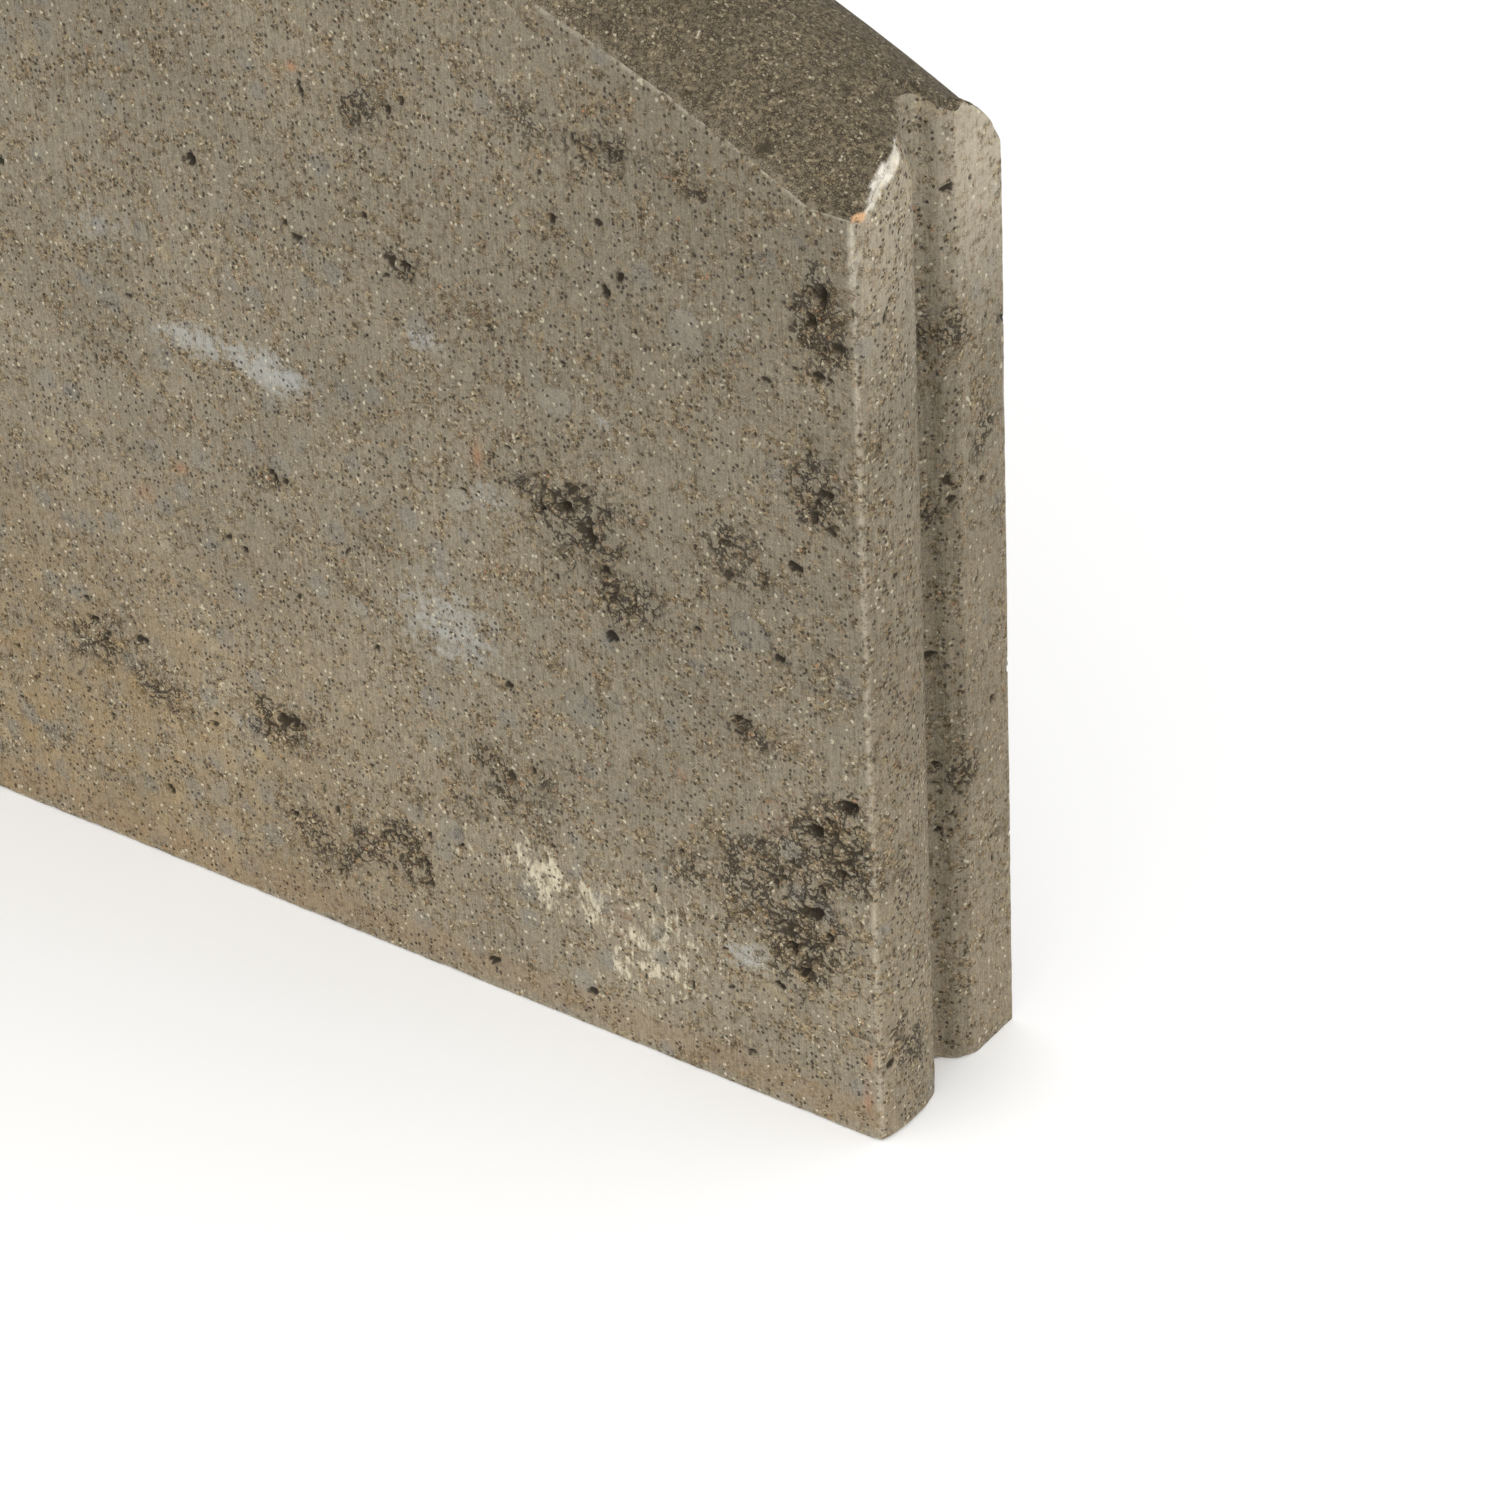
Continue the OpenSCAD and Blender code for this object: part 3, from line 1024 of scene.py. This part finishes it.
@dataclass
class PebbleGroup:
    """All the stones of one kind, in one piece."""

    name: str
    node: str
    stones: list[Stone]
    weathering: Weathering
    face: float
    around: int = 44
    cap_rings: int = 9
    body_rings: int = 6
    sunk: float = 0.1
    crown: float = 0.1
    shoulder: float = 0.6

    def build(self, material: bpy.types.Material) -> bpy.types.Object:
        """Makes every stone and joins them in one object.

        Args:
            material: The stones' finish.

        Returns:
            The finished piece.
        """
        shapes = [self.stone(stone) for stone in self.stones]
        points = np.concatenate([points for points, _, _ in shapes])
        normals = np.concatenate([normals for _, normals, _ in shapes])
        firsts = np.cumsum([0] + [len(points) for points, _, _ in shapes[:-1]])
        parts = [
            Faces(faces.quads + first, faces.triangles + first)
            for (_, _, faces), first in zip(shapes, firsts, strict=True)
        ]
        piece = write_mesh(self.name, points, Faces.joined(parts))
        write_values(piece, self.weathering.looks(points, normals))
        piece.data.materials.append(material)
        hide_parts(self.node)
        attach(piece, BODY)
        LOG.info("%s: %d stones, %d points", self.name, len(shapes), len(points))
        return piece

    def stone(self, stone: Stone) -> tuple[np.ndarray, np.ndarray, Faces]:
        """Makes one stone: a nearly flat cap at the face, and a rounded body behind it.

        Args:
            stone: The stone.

        Returns:
            Its points, the direction that its face looks in at each, and its faces.
        """
        share = np.sin(np.linspace(0, 1, self.cap_rings + 1)[1:] * math.pi / 2)
        cap_depth = self.sunk + self.crown * share**2 + self.shoulder * (1 - np.sqrt(1 - share**6))
        swing = np.linspace(0, math.pi / 2, self.body_rings + 1)[1:-1]
        spread = np.concatenate([share, np.cos(swing)])
        depth = np.concatenate([cap_depth, cap_depth[-1] + 0.9 * stone.radius * np.sin(swing)])
        angle = np.linspace(0, math.tau, self.around, endpoint=False)
        radius = stone.outline(angle)[None, :] * spread[:, None]
        rings = np.stack(
            [
                stone.x + radius * np.cos(angle),
                np.repeat(depth[:, None], self.around, axis=1),
                stone.z + radius * np.sin(angle),
            ],
            axis=-1,
        )
        poles = np.array(
            [[stone.x, self.sunk, stone.z], [stone.x, cap_depth[-1] + 0.9 * stone.radius, stone.z]]
        )
        points = np.concatenate([rings.reshape(-1, 3), poles])
        rough = Noise(int(stone.turn * 1000)).layered(points, 1.9, 2)
        points[:, 1] += 0.1 * (1 + rough)
        out = -1.0 if stone.front else 1.0
        points[:, 1] = out * (self.face - points[:, 1])
        numbers = np.arange(rings.shape[0] * self.around).reshape(rings.shape[0], self.around)
        after = np.roll(numbers, -1, axis=1)
        quads = np.stack([numbers[:-1], numbers[1:], after[1:], after[:-1]], axis=-1).reshape(-1, 4)
        outer, inner = len(points) - 2, len(points) - 1
        fan = np.concatenate(
            [
                np.stack([np.full(self.around, outer), numbers[0], after[0]], axis=1),
                np.stack([np.full(self.around, inner), after[-1], numbers[-1]], axis=1),
            ]
        )
        faces = Faces(quads, fan)
        normals = np.tile([0, out, 0], (len(points), 1)).astype(float)
        return points, normals, faces.flipped() if not stone.front else faces


class Recipe:
    """Adds a material's nodes one by one, with places in millimetres."""

    def __init__(self, name: str) -> None:
        """Starts an empty material.

        Args:
            name: The material's name.
        """
        self.material = bpy.data.materials.new(name)
        self.material.use_nodes = True
        self.tree = self.material.node_tree
        self.tree.nodes.clear()
        metres = self.tree.nodes.new("ShaderNodeTexCoord").outputs["Object"]
        self.place = self.stretched(metres, (1 / MM, 1 / MM, 1 / MM))

    def feed(self, socket: bpy.types.NodeSocket, value: object) -> None:
        """Links a socket to another, or sets its value."""
        if isinstance(value, bpy.types.NodeSocket):
            self.tree.links.new(value, socket)
        else:
            socket.default_value = value

    def stretched(
        self, vector: bpy.types.NodeSocket, factors: tuple[float, float, float]
    ) -> bpy.types.NodeSocket:
        """Multiplies places by one factor per axis."""
        node = self.tree.nodes.new("ShaderNodeVectorMath")
        node.operation = "MULTIPLY"
        self.feed(node.inputs[0], vector)
        self.feed(node.inputs[1], factors)
        return node.outputs[0]

    def moved(self, vector: bpy.types.NodeSocket, amount: float) -> bpy.types.NodeSocket:
        """Shifts places by the same amount on each axis."""
        node = self.tree.nodes.new("ShaderNodeVectorMath")
        node.operation = "ADD"
        self.feed(node.inputs[0], vector)
        self.feed(node.inputs[1], (amount, amount, amount))
        return node.outputs[0]

    def math(
        self, kind: str, first: object, second: object = 0.0, third: object = 0.0
    ) -> bpy.types.NodeSocket:
        """Works out one sum of up to three values."""
        node = self.tree.nodes.new("ShaderNodeMath")
        node.operation = kind
        for socket, value in zip(node.inputs, (first, second, third), strict=False):
            self.feed(socket, value)
        return node.outputs[0]

    def step(self, low: float, high: float, value: object) -> bpy.types.NodeSocket:
        """Rises smoothly from 0 at low to 1 at high."""
        node = self.tree.nodes.new("ShaderNodeMapRange")
        node.interpolation_type = "SMOOTHSTEP"
        self.feed(node.inputs["Value"], value)
        self.feed(node.inputs["From Min"], low)
        self.feed(node.inputs["From Max"], high)
        return node.outputs[0]

    def noise(
        self, vector: bpy.types.NodeSocket, size: float, detail: float = 2, rough: float = 0.5
    ) -> bpy.types.NodeSocket:
        """Smooth noise from about 0.2 to 0.8, with blots of a size in millimetres."""
        node = self.tree.nodes.new("ShaderNodeTexNoise")
        self.feed(node.inputs["Vector"], vector)
        self.feed(node.inputs["Scale"], 1 / size)
        self.feed(node.inputs["Detail"], detail)
        self.feed(node.inputs["Roughness"], rough)
        return node.outputs[0]

    def cells(self, vector: bpy.types.NodeSocket, size: float, feature: str = "F1") -> bpy.types.Node:
        """Cells of a size in millimetres, each with its own colour."""
        node = self.tree.nodes.new("ShaderNodeTexVoronoi")
        node.feature = feature
        self.feed(node.inputs["Vector"], vector)
        self.feed(node.inputs["Scale"], 1 / size)
        return node

    def own_number(self, cells: bpy.types.Node, channel: int = 0) -> bpy.types.NodeSocket:
        """The number from 0 to 1 that each cell drew."""
        node = self.tree.nodes.new("ShaderNodeSeparateColor")
        self.feed(node.inputs[0], cells.outputs["Color"])
        return node.outputs[channel]

    def ramp(self, value: object, stops: tuple[tuple[float, tuple[float, ...]], ...]) -> bpy.types.NodeSocket:
        """Looks up a colour between stops of (position, colour)."""
        node = self.tree.nodes.new("ShaderNodeValToRGB")
        self.feed(node.inputs[0], value)
        elements = node.color_ramp.elements
        while len(elements) < len(stops):
            elements.new(1.0)
        for element, (position, colour) in zip(elements, stops, strict=True):
            element.position = position
            element.color = colour
        return node.outputs[0]

    def blend(self, factor: object, under: object, over: object, kind: str = "MIX") -> bpy.types.NodeSocket:
        """Mixes two colours."""
        node = self.tree.nodes.new("ShaderNodeMix")
        node.data_type = "RGBA"
        node.blend_type = kind
        self.feed(node.inputs[0], factor)
        self.feed(node.inputs[6], under)
        self.feed(node.inputs[7], over)
        return node.outputs[2]

    def grey(self, value: bpy.types.NodeSocket) -> bpy.types.NodeSocket:
        """Turns a value into a grey that may be over 1."""
        node = self.tree.nodes.new("ShaderNodeCombineColor")
        for socket in node.inputs[:3]:
            self.feed(socket, value)
        return node.outputs[0]

    def given(self, name: str) -> bpy.types.NodeSocket:
        """Reads a value that the piece stores at its points."""
        node = self.tree.nodes.new("ShaderNodeAttribute")
        node.attribute_name = name
        return node.outputs["Fac"]

    def finish(
        self, colour: object, roughness: object, height: object, depth: float, metallic: float = 0.0
    ) -> bpy.types.Material:
        """Ends the material.

        Args:
            colour: Base colour.
            roughness: Roughness.
            height: Height of the fine relief, from 0 to about 1.
            depth: What a height of 1 measures, in millimetres.
            metallic: How metallic the surface is.

        Returns:
            The finished material.
        """
        bump = self.tree.nodes.new("ShaderNodeBump")
        self.feed(bump.inputs["Height"], height)
        self.feed(bump.inputs["Distance"], depth * MM)
        shader = self.tree.nodes.new("ShaderNodeBsdfPrincipled")
        self.feed(shader.inputs["Base Color"], colour)
        self.feed(shader.inputs["Roughness"], roughness)
        self.feed(shader.inputs["Metallic"], metallic)
        self.feed(shader.inputs["Specular IOR Level"], 0.25)
        self.feed(shader.inputs["Normal"], bump.outputs[0])
        output = self.tree.nodes.new("ShaderNodeOutputMaterial")
        self.feed(output.inputs["Surface"], shader.outputs[0])
        return self.material


@dataclass(frozen=True)
class CastFinish:
    """Cast concrete: sand grains, bare or under a smeared skin of slurry, with pores, bloom and stains, and
    painted shade in the grain gaps, pores, cracks and pits.
    """

    name: str = "cast_concrete"
    slurry: tuple = shade(124, 116, 100)
    slurry_light: tuple = shade(142, 133, 115)
    sand: tuple = (
        (0.0, shade(84, 71, 51)),
        (0.3, shade(114, 99, 74)),
        (0.65, shade(138, 121, 93)),
        (0.93, shade(158, 141, 111)),
        (1.0, shade(178, 166, 142)),
    )
    rusty_grain: tuple = shade(166, 120, 84)
    grey_stone: tuple = shade(124, 124, 120)
    buff_stone: tuple = shade(164, 149, 120)
    # Painted shade: the near-black of the grain gaps, pores, hairline cracks and pits.
    gap: tuple = shade(34, 28, 19)
    lime: tuple = shade(176, 177, 172)
    # Also the colour of the painted highlight along the arrises.
    pale: tuple = shade(190, 180, 160)
    low_band_brown: tuple = shade(140, 118, 92)
    fleck: tuple = shade(208, 198, 172)
    fresh: tuple = shade(206, 199, 186)
    tan: tuple = shade(196, 158, 120)
    rust: tuple = shade(168, 112, 72)
    grain_size: float = 0.72
    relief: float = 0.22
    stone: tuple | None = None
    stone_light: tuple | None = None

    def material(self) -> bpy.types.Material:
        """Builds the material."""
        make = Recipe(self.name)
        place = make.place
        drag = make.stretched(place, (1, 1, 0.09))
        grains = make.cells(place, self.grain_size)
        edges = make.cells(place, self.grain_size, "DISTANCE_TO_EDGE").outputs["Distance"]
        fine = make.noise(place, 0.45, 3, 0.65)
        blots = make.noise(place, 2.2, 4, 0.65)
        patches = make.noise(make.moved(place, 40), 9, 3, 0.55)
        broad = make.noise(make.moved(place, 90), 38, 2, 0.5)
        streaks = make.noise(drag, 0.55, 3, 0.6)
        crumble = make.given("crumble")

        sand = make.ramp(make.own_number(grains), self.sand)
        odd = make.step(0.978, 0.985, make.own_number(grains, 1))
        sand = make.blend(make.math("MULTIPLY", odd, 0.7), sand, self.rusty_grain)
        if self.stone is not None:
            sand = make.blend(make.step(0.3, 0.7, blots), self.stone, self.stone_light)
        cover = make.math("MULTIPLY_ADD", streaks, 0.35, make.math("MULTIPLY_ADD", patches, 0.5, blots))
        cover = make.math("SUBTRACT", cover, make.math("MULTIPLY", crumble, 0.1))
        cover = make.step(0.70, 1.0, cover)
        skin = make.blend(make.step(0.35, 0.65, streaks), self.slurry, self.slurry_light)
        colour = make.blend(make.math("MULTIPLY", cover, 0.85), sand, skin)

        pebbles = make.cells(make.moved(place, 17), 8.5)
        pebble_edge = make.math("MULTIPLY_ADD", blots, 0.5, pebbles.outputs["Distance"])
        coarse = make.given("coarse")
        shown = make.math("MULTIPLY_ADD", coarse, 0.3, 0.08)
        in_pebble = make.step(0.70, 0.58, pebble_edge)
        greyish = make.math("LESS_THAN", make.own_number(pebbles), shown)
        buffish = make.math("LESS_THAN", make.own_number(pebbles, 1), make.math("MULTIPLY", shown, 0.7))
        colour = make.blend(
            make.math("MULTIPLY", make.math("MULTIPLY", in_pebble, greyish), 0.35), colour, self.grey_stone
        )
        colour = make.blend(
            make.math("MULTIPLY", make.math("MULTIPLY", in_pebble, buffish), 0.4), colour, self.buff_stone
        )

        warm = make.math("MULTIPLY", make.given("warm"), make.step(0.35, 0.65, patches))
        colour = make.blend(warm, colour, make.blend(1.0, colour, (1.12, 0.98, 0.78, 1), "MULTIPLY"))
        tone = make.math("MULTIPLY_ADD", broad, 0.4, 0.8)
        colour = make.blend(1.0, colour, make.grey(tone), "MULTIPLY")
        speckle = make.math("MULTIPLY_ADD", fine, 1.2, 0.4)
        colour = make.blend(1.0, colour, make.grey(speckle), "MULTIPLY")
        # Browns the band just above the bottom of the front face.
        colour = make.blend(make.math("MULTIPLY", make.given("band"), 0.35), colour, self.low_band_brown)

        veil = make.math("MULTIPLY_ADD", make.given("bloom"), 0.55, make.math("MULTIPLY", blots, 0.9))
        colour = make.blend(make.math("MULTIPLY", make.step(0.62, 1.05, veil), 0.6), colour, self.lime)
        dashes = make.noise(make.stretched(place, (0.45, 0.45, 0.22)), 1, 3, 0.6)
        dash = make.math("MULTIPLY_ADD", make.given("fleck"), 0.3, dashes)
        colour = make.blend(make.math("MULTIPLY", make.step(0.72, 0.92, dash), 0.75), colour, self.fleck)
        pale = make.math("MULTIPLY", make.given("pale"), make.step(0.25, 0.6, blots))
        colour = make.blend(make.math("MULTIPLY", pale, 0.45), colour, self.pale)
        bright = make.math("GREATER_THAN", make.own_number(grains, 2), 0.985)
        colour = make.blend(make.math("MULTIPLY", bright, 0.6), colour, self.fleck)
        # Multiplies in the stored tone, with its painted shade in the groove.
        colour = make.blend(1.0, colour, make.grey(make.given("tone")), "MULTIPLY")

        # Painted shade in the open gaps between grains, the pores and the hairline cracks.
        open_gap = make.step(0.40, 0.62, make.math("MULTIPLY_ADD", crumble, 0.08, make.noise(place, 1.5, 2)))
        gap = make.math("MULTIPLY", make.step(0.16, 0.02, edges), open_gap)
        gap = make.math("MULTIPLY", gap, make.math("MULTIPLY_ADD", cover, -0.75, 1.0))
        pores = make.cells(make.moved(place, 63), 1.35)
        pore_edge = make.math("MULTIPLY_ADD", fine, 0.5, pores.outputs["Distance"])
        pore = make.step(0.66, 0.46, pore_edge)
        busy = make.step(0.4, 0.65, make.noise(make.moved(place, 15), 13, 3, 0.6))
        share = make.math("MULTIPLY_ADD", busy, 0.26, make.math("MULTIPLY_ADD", crumble, 0.14, 0.18))
        some = make.math("LESS_THAN", make.own_number(pores), share)
        pore = make.math("MULTIPLY", pore, some)
        ridge = make.noise(make.moved(place, 140), 4.0, 3, 0.6)
        crack = make.step(0.05, 0.015, make.math("ABSOLUTE", make.math("SUBTRACT", ridge, 0.5)))
        cracked = make.step(0.35, 0.7, make.math("MULTIPLY_ADD", busy, 0.35, crumble))
        crack = make.math("MULTIPLY", crack, cracked)
        dark = make.math("MAXIMUM", make.math("MULTIPLY", gap, 0.6), make.math("MULTIPLY", pore, 0.8))
        dark = make.math("MAXIMUM", dark, make.math("MULTIPLY", crack, 0.85))
        # Painted shade in the pits and crevices, with ragged rims.
        ragged_pit_shade = make.math("MULTIPLY_ADD", fine, 0.8, make.math("SUBTRACT", make.given("cavity_shade"), 0.4))
        dark = make.math("MAXIMUM", dark, make.math("MULTIPLY", make.step(0.3, 0.9, ragged_pit_shade), 0.9))
        colour = make.blend(dark, colour, self.gap)

        rust = make.math("MULTIPLY", make.given("rust"), make.step(0.3, 0.55, blots))
        colour = make.blend(make.math("MULTIPLY", rust, 0.8), colour, self.rust)
        # Painted highlight: the arrises are lightened towards the pale colour.
        edge = make.math("MULTIPLY", make.given("edge"), make.step(0.35, 0.6, blots))
        colour = make.blend(make.math("MULTIPLY", edge, 0.35), colour, self.pale)
        fresh = make.blend(make.step(0.3, 0.6, blots), self.fleck, self.fresh)
        colour = make.blend(make.given("chip"), colour, fresh)
        colour = make.blend(make.given("tan"), colour, self.tan)

        round_grain = make.math("SUBTRACT", 1.0, grains.outputs["Distance"])
        height = make.math("MULTIPLY", round_grain, make.math("MULTIPLY_ADD", cover, -0.75, 1.0))
        height = make.math("MULTIPLY_ADD", fine, 0.35, height)
        height = make.math("MULTIPLY_ADD", streaks, 0.25, height)
        height = make.math("MULTIPLY_ADD", dark, -1.4, height)
        roughness = make.math("MULTIPLY_ADD", cover, -0.12, 0.95)
        return make.finish(colour, roughness, height, self.relief)


@dataclass(frozen=True)
class TampedFinish:
    """The fine dark facing, tamped and struck off: close-grained with a few bright specks, and painted shade
    in its grain gaps and pits.
    """

    name: str = "tamped_facing"
    base: tuple = shade(99, 90, 73)
    grains: tuple = (
        (0.0, shade(66, 56, 41)),
        (0.35, shade(96, 86, 68)),
        (0.75, shade(114, 102, 80)),
        (0.95, shade(136, 124, 100)),
        (1.0, shade(176, 166, 144)),
    )
    # Painted shade: the near-black of the grain gaps and pits.
    gap: tuple = shade(40, 34, 25)
    smudge: tuple = shade(134, 138, 136)
    tan: tuple = shade(138, 112, 72)
    rim: tuple = shade(150, 140, 120)
    # Painted highlight colour for the arrises.
    fresh: tuple = shade(206, 199, 186)
    chip_tan: tuple = shade(196, 158, 120)
    relief: float = 0.22

    def material(self) -> bpy.types.Material:
        """Builds the material."""
        make = Recipe(self.name)
        place = make.place
        grains = make.cells(place, 0.62)
        edges = make.cells(place, 0.62, "DISTANCE_TO_EDGE").outputs["Distance"]
        blots = make.noise(place, 2.6, 4, 0.65)
        broad = make.noise(make.moved(place, 25), 24, 3, 0.55)
        fine = make.noise(place, 0.35, 2, 0.6)
        colour = make.ramp(make.own_number(grains), self.grains)
        colour = make.blend(make.step(0.35, 0.7, blots), colour, self.base)
        smudge = make.step(0.70, 0.80, make.noise(make.moved(place, 71), 5, 3, 0.6))
        colour = make.blend(make.math("MULTIPLY", smudge, 0.5), colour, self.smudge)
        tan = make.step(0.66, 0.80, make.noise(make.moved(place, 7), 7, 4, 0.6))
        colour = make.blend(make.math("MULTIPLY", tan, 0.5), colour, self.tan)
        tone = make.math("MULTIPLY_ADD", broad, 0.7, 0.65)
        colour = make.blend(1.0, colour, make.grey(tone), "MULTIPLY")
        speckle = make.math("MULTIPLY_ADD", fine, 0.6, 0.7)
        colour = make.blend(1.0, colour, make.grey(speckle), "MULTIPLY")
        # Painted shade in the gaps between grains and in the pits and crevices.
        gap = make.math("MULTIPLY", make.step(0.15, 0.02, edges), make.step(0.4, 0.6, make.noise(place, 1.1)))
        gap = make.math("MAXIMUM", gap, make.given("cavity_shade"))
        colour = make.blend(make.math("MULTIPLY", gap, 0.7), colour, self.gap)
        # Painted highlight along the arrises.
        edge = make.math("MULTIPLY", make.given("edge"), make.step(0.35, 0.6, blots))
        colour = make.blend(make.math("MULTIPLY", edge, 0.3), colour, self.rim)
        colour = make.blend(make.given("chip"), colour, self.fresh)
        colour = make.blend(make.given("tan"), colour, self.chip_tan)
        height = make.math("MULTIPLY_ADD", fine, 0.5, make.math("SUBTRACT", 1.0, grains.outputs["Distance"]))
        height = make.math("MULTIPLY_ADD", gap, -1.0, height)
        return make.finish(colour, 0.94, height, self.relief)


@dataclass(frozen=True)
class SteelFinish:
    """Ribbed reinforcement with a dull mill skin and patches of rust."""

    name: str = "bar_steel"
    mill: tuple = shade(92, 88, 86)
    rust: tuple = shade(140, 84, 50)
    dark_rust: tuple = shade(84, 50, 34)

    def material(self) -> bpy.types.Material:
        """Builds the material."""
        make = Recipe(self.name)
        place = make.place
        patches = make.noise(place, 6, 5, 0.65)
        grit = make.noise(place, 0.6, 3, 0.6)
        rusted = make.blend(grit, self.dark_rust, self.rust)
        share = make.step(0.38, 0.58, patches)
        colour = make.blend(share, self.mill, rusted)
        roughness = make.math("MULTIPLY_ADD", share, 0.35, 0.5)
        height = make.math("MULTIPLY_ADD", grit, 0.5, make.math("MULTIPLY", share, 0.5))
        return make.finish(colour, roughness, height, 0.12, metallic=0.35)


class StoneKind(Enum):
    """The kinds of stone in the mix, as (pebble piece, CAD node, colour, lighter colour)."""

    BUFF = ("buff_pebble_group", "buff_stones", (140, 126, 99), (158, 143, 115))
    GREY = ("grey_pebble_group", "grey_stones", (108, 104, 96), (124, 119, 109))
    WHITE = ("white_pebble_group", "white_stones", (146, 139, 125), (168, 160, 145))
    RUST = ("rust_pebble_group", "rust_stones", (128, 106, 84), (144, 123, 99))
    RIVER = ("river_pebble_group", "river_pebbles", (124, 113, 93), (140, 129, 108))

    def finish(self) -> CastFinish:
        """The stone's own colours under the film of cement."""
        _, node, colour, light = self.value
        return CastFinish(name=node, stone=shade(*colour), stone_light=shade(*light), relief=0.16)


@dataclass(frozen=True)
class Viewpoint:
    """The camera, aimed at a point on the board."""

    azimuth: float = 37.026
    elevation: float = 33.373
    roll: float = -2.9198
    distance: float = 1045.94
    aim: tuple[float, float, float] = (218.957, -30.0, 103.008)
    lens: float = 107.14

    def build(self) -> bpy.types.Object:
        """Makes the camera and gives it to the scene."""
        azimuth = math.radians(self.azimuth)
        elevation = math.radians(self.elevation)
        roll = math.radians(self.roll)
        back = Vector(
            (
                math.sin(azimuth) * math.cos(elevation),
                -math.cos(azimuth) * math.cos(elevation),
                math.sin(elevation),
            )
        )
        right = Vector((math.cos(azimuth), math.sin(azimuth), 0))
        up = back.cross(right)
        turned_right = math.cos(roll) * right + math.sin(roll) * up
        turned_up = math.cos(roll) * up - math.sin(roll) * right
        turn = Matrix((turned_right, turned_up, back)).transposed().to_4x4()
        data = bpy.data.cameras.new("camera")
        data.lens = self.lens
        data.clip_start = 0.05
        data.clip_end = 50
        camera = bpy.data.objects.new("camera", data)
        camera.matrix_world = Matrix.Translation((Vector(self.aim) + back * self.distance) * MM) @ turn
        bpy.context.scene.collection.objects.link(camera)
        bpy.context.scene.camera = camera
        return camera


@dataclass(frozen=True)
class Softbox:
    """A large soft lamp, placed and aimed in metres."""

    name: str
    place: tuple[float, float, float]
    aim: tuple[float, float, float]
    size: float
    power: float

    def build(self) -> bpy.types.Object:
        """Makes the lamp."""
        data = bpy.data.lights.new(self.name, "AREA")
        data.size = self.size
        data.energy = self.power
        lamp = bpy.data.objects.new(self.name, data)
        lamp.location = self.place
        away = Vector(self.place) - Vector(self.aim)
        lamp.rotation_euler = away.to_track_quat("Z", "Y").to_euler()
        bpy.context.scene.collection.objects.link(lamp)
        return lamp


@dataclass
class Studio:
    """The plain pale floor, the even surround and the lamps."""

    floor_half: float = 4.0
    surround: float = 1.0
    floor_shade: tuple = shade(253, 253, 253)
    lamps: tuple[Softbox, ...] = (
        Softbox("key_softbox", (1.5, -0.9, 0.9), (0.15, 0, 0.12), 1.0, 14),
        Softbox("fill_softbox", (-0.6, -1.9, 0.9), (0.0, 0, 0.15), 1.4, 8),
    )

    def build(self) -> None:
        """Makes the whole setting."""
        scene = bpy.context.scene
        scene.view_settings.view_transform = "Standard"
        world = bpy.data.worlds.new("surround")
        world.use_nodes = True
        world.node_tree.nodes["Background"].inputs["Color"].default_value = (1, 1, 1, 1)
        world.node_tree.nodes["Background"].inputs["Strength"].default_value = self.surround
        scene.world = world
        for lamp in self.lamps:
            lamp.build()
        half = self.floor_half / MM
        corners = np.array([[-half, -half, 0], [half, -half, 0], [half, half, 0], [-half, half, 0]], float)
        floor = write_mesh("floor", corners, Faces(np.array([[0, 1, 2, 3]]), np.empty((0, 3), int)))
        make = Recipe("pale_floor")
        cloud = make.noise(make.place, 300, 2)
        tint = make.blend(cloud, self.floor_shade, shade(250, 250, 249))
        floor.data.materials.append(make.finish(tint, 0.9, cloud, 0.01))


@dataclass
class EdgingBoard:
    """The whole board: core, facing, stones and reinforcement."""

    shape: BoardShape = field(default_factory=BoardShape)
    steel_nodes: tuple[str, ...] = ("bow_bar", "middle_bar", "bottom_bar", "upright_wires")

    def build(self) -> None:
        """Builds every piece in order."""
        bed = StoneBed(tuple(kind.value[1] for kind in StoneKind))
        bed.find()
        weathering = Weathering(self.shape)
        skin = BoardSkin(self.shape, weathering, bed.every())
        skin.build()
        cast, tamped = CastFinish().material(), TampedFinish().material()
        core_sides = {side: cast for side in skin.core}
        core = ConcretePiece("pressed_core", "core_concrete", "core_concrete", skin)
        core.build(skin.core, skin.cap, core_sides)
        facing_sides = {side: tamped if side is Side.TOP else cast for side in skin.facing}
        facing = ConcretePiece("tamped_top", "top_facing", "top_facing", skin)
        facing.build(skin.facing, skin.cap.flipped(), facing_sides)
        for kind in StoneKind:
            name, node, _, _ = kind.value
            group = PebbleGroup(name, node, bed.stones[node], weathering, self.shape.half_thickness)
            group.build(kind.finish().material())
        self.dress_steel()

    def dress_steel(self) -> None:
        """Gives the bars and wires their finish."""
        steel = SteelFinish().material()
        for name in self.steel_nodes:
            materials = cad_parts[name].data.materials
            materials.clear()
            materials.append(steel)
            LOG.info("%s: dressed", name)


def main() -> None:
    """Builds the camera, the setting and the board."""
    logging.basicConfig(level=logging.INFO, format="%(message)s", force=True)
    Viewpoint().build()
    Studio().build()
    EdgingBoard().build()


if __name__ == "__main__":
    main()
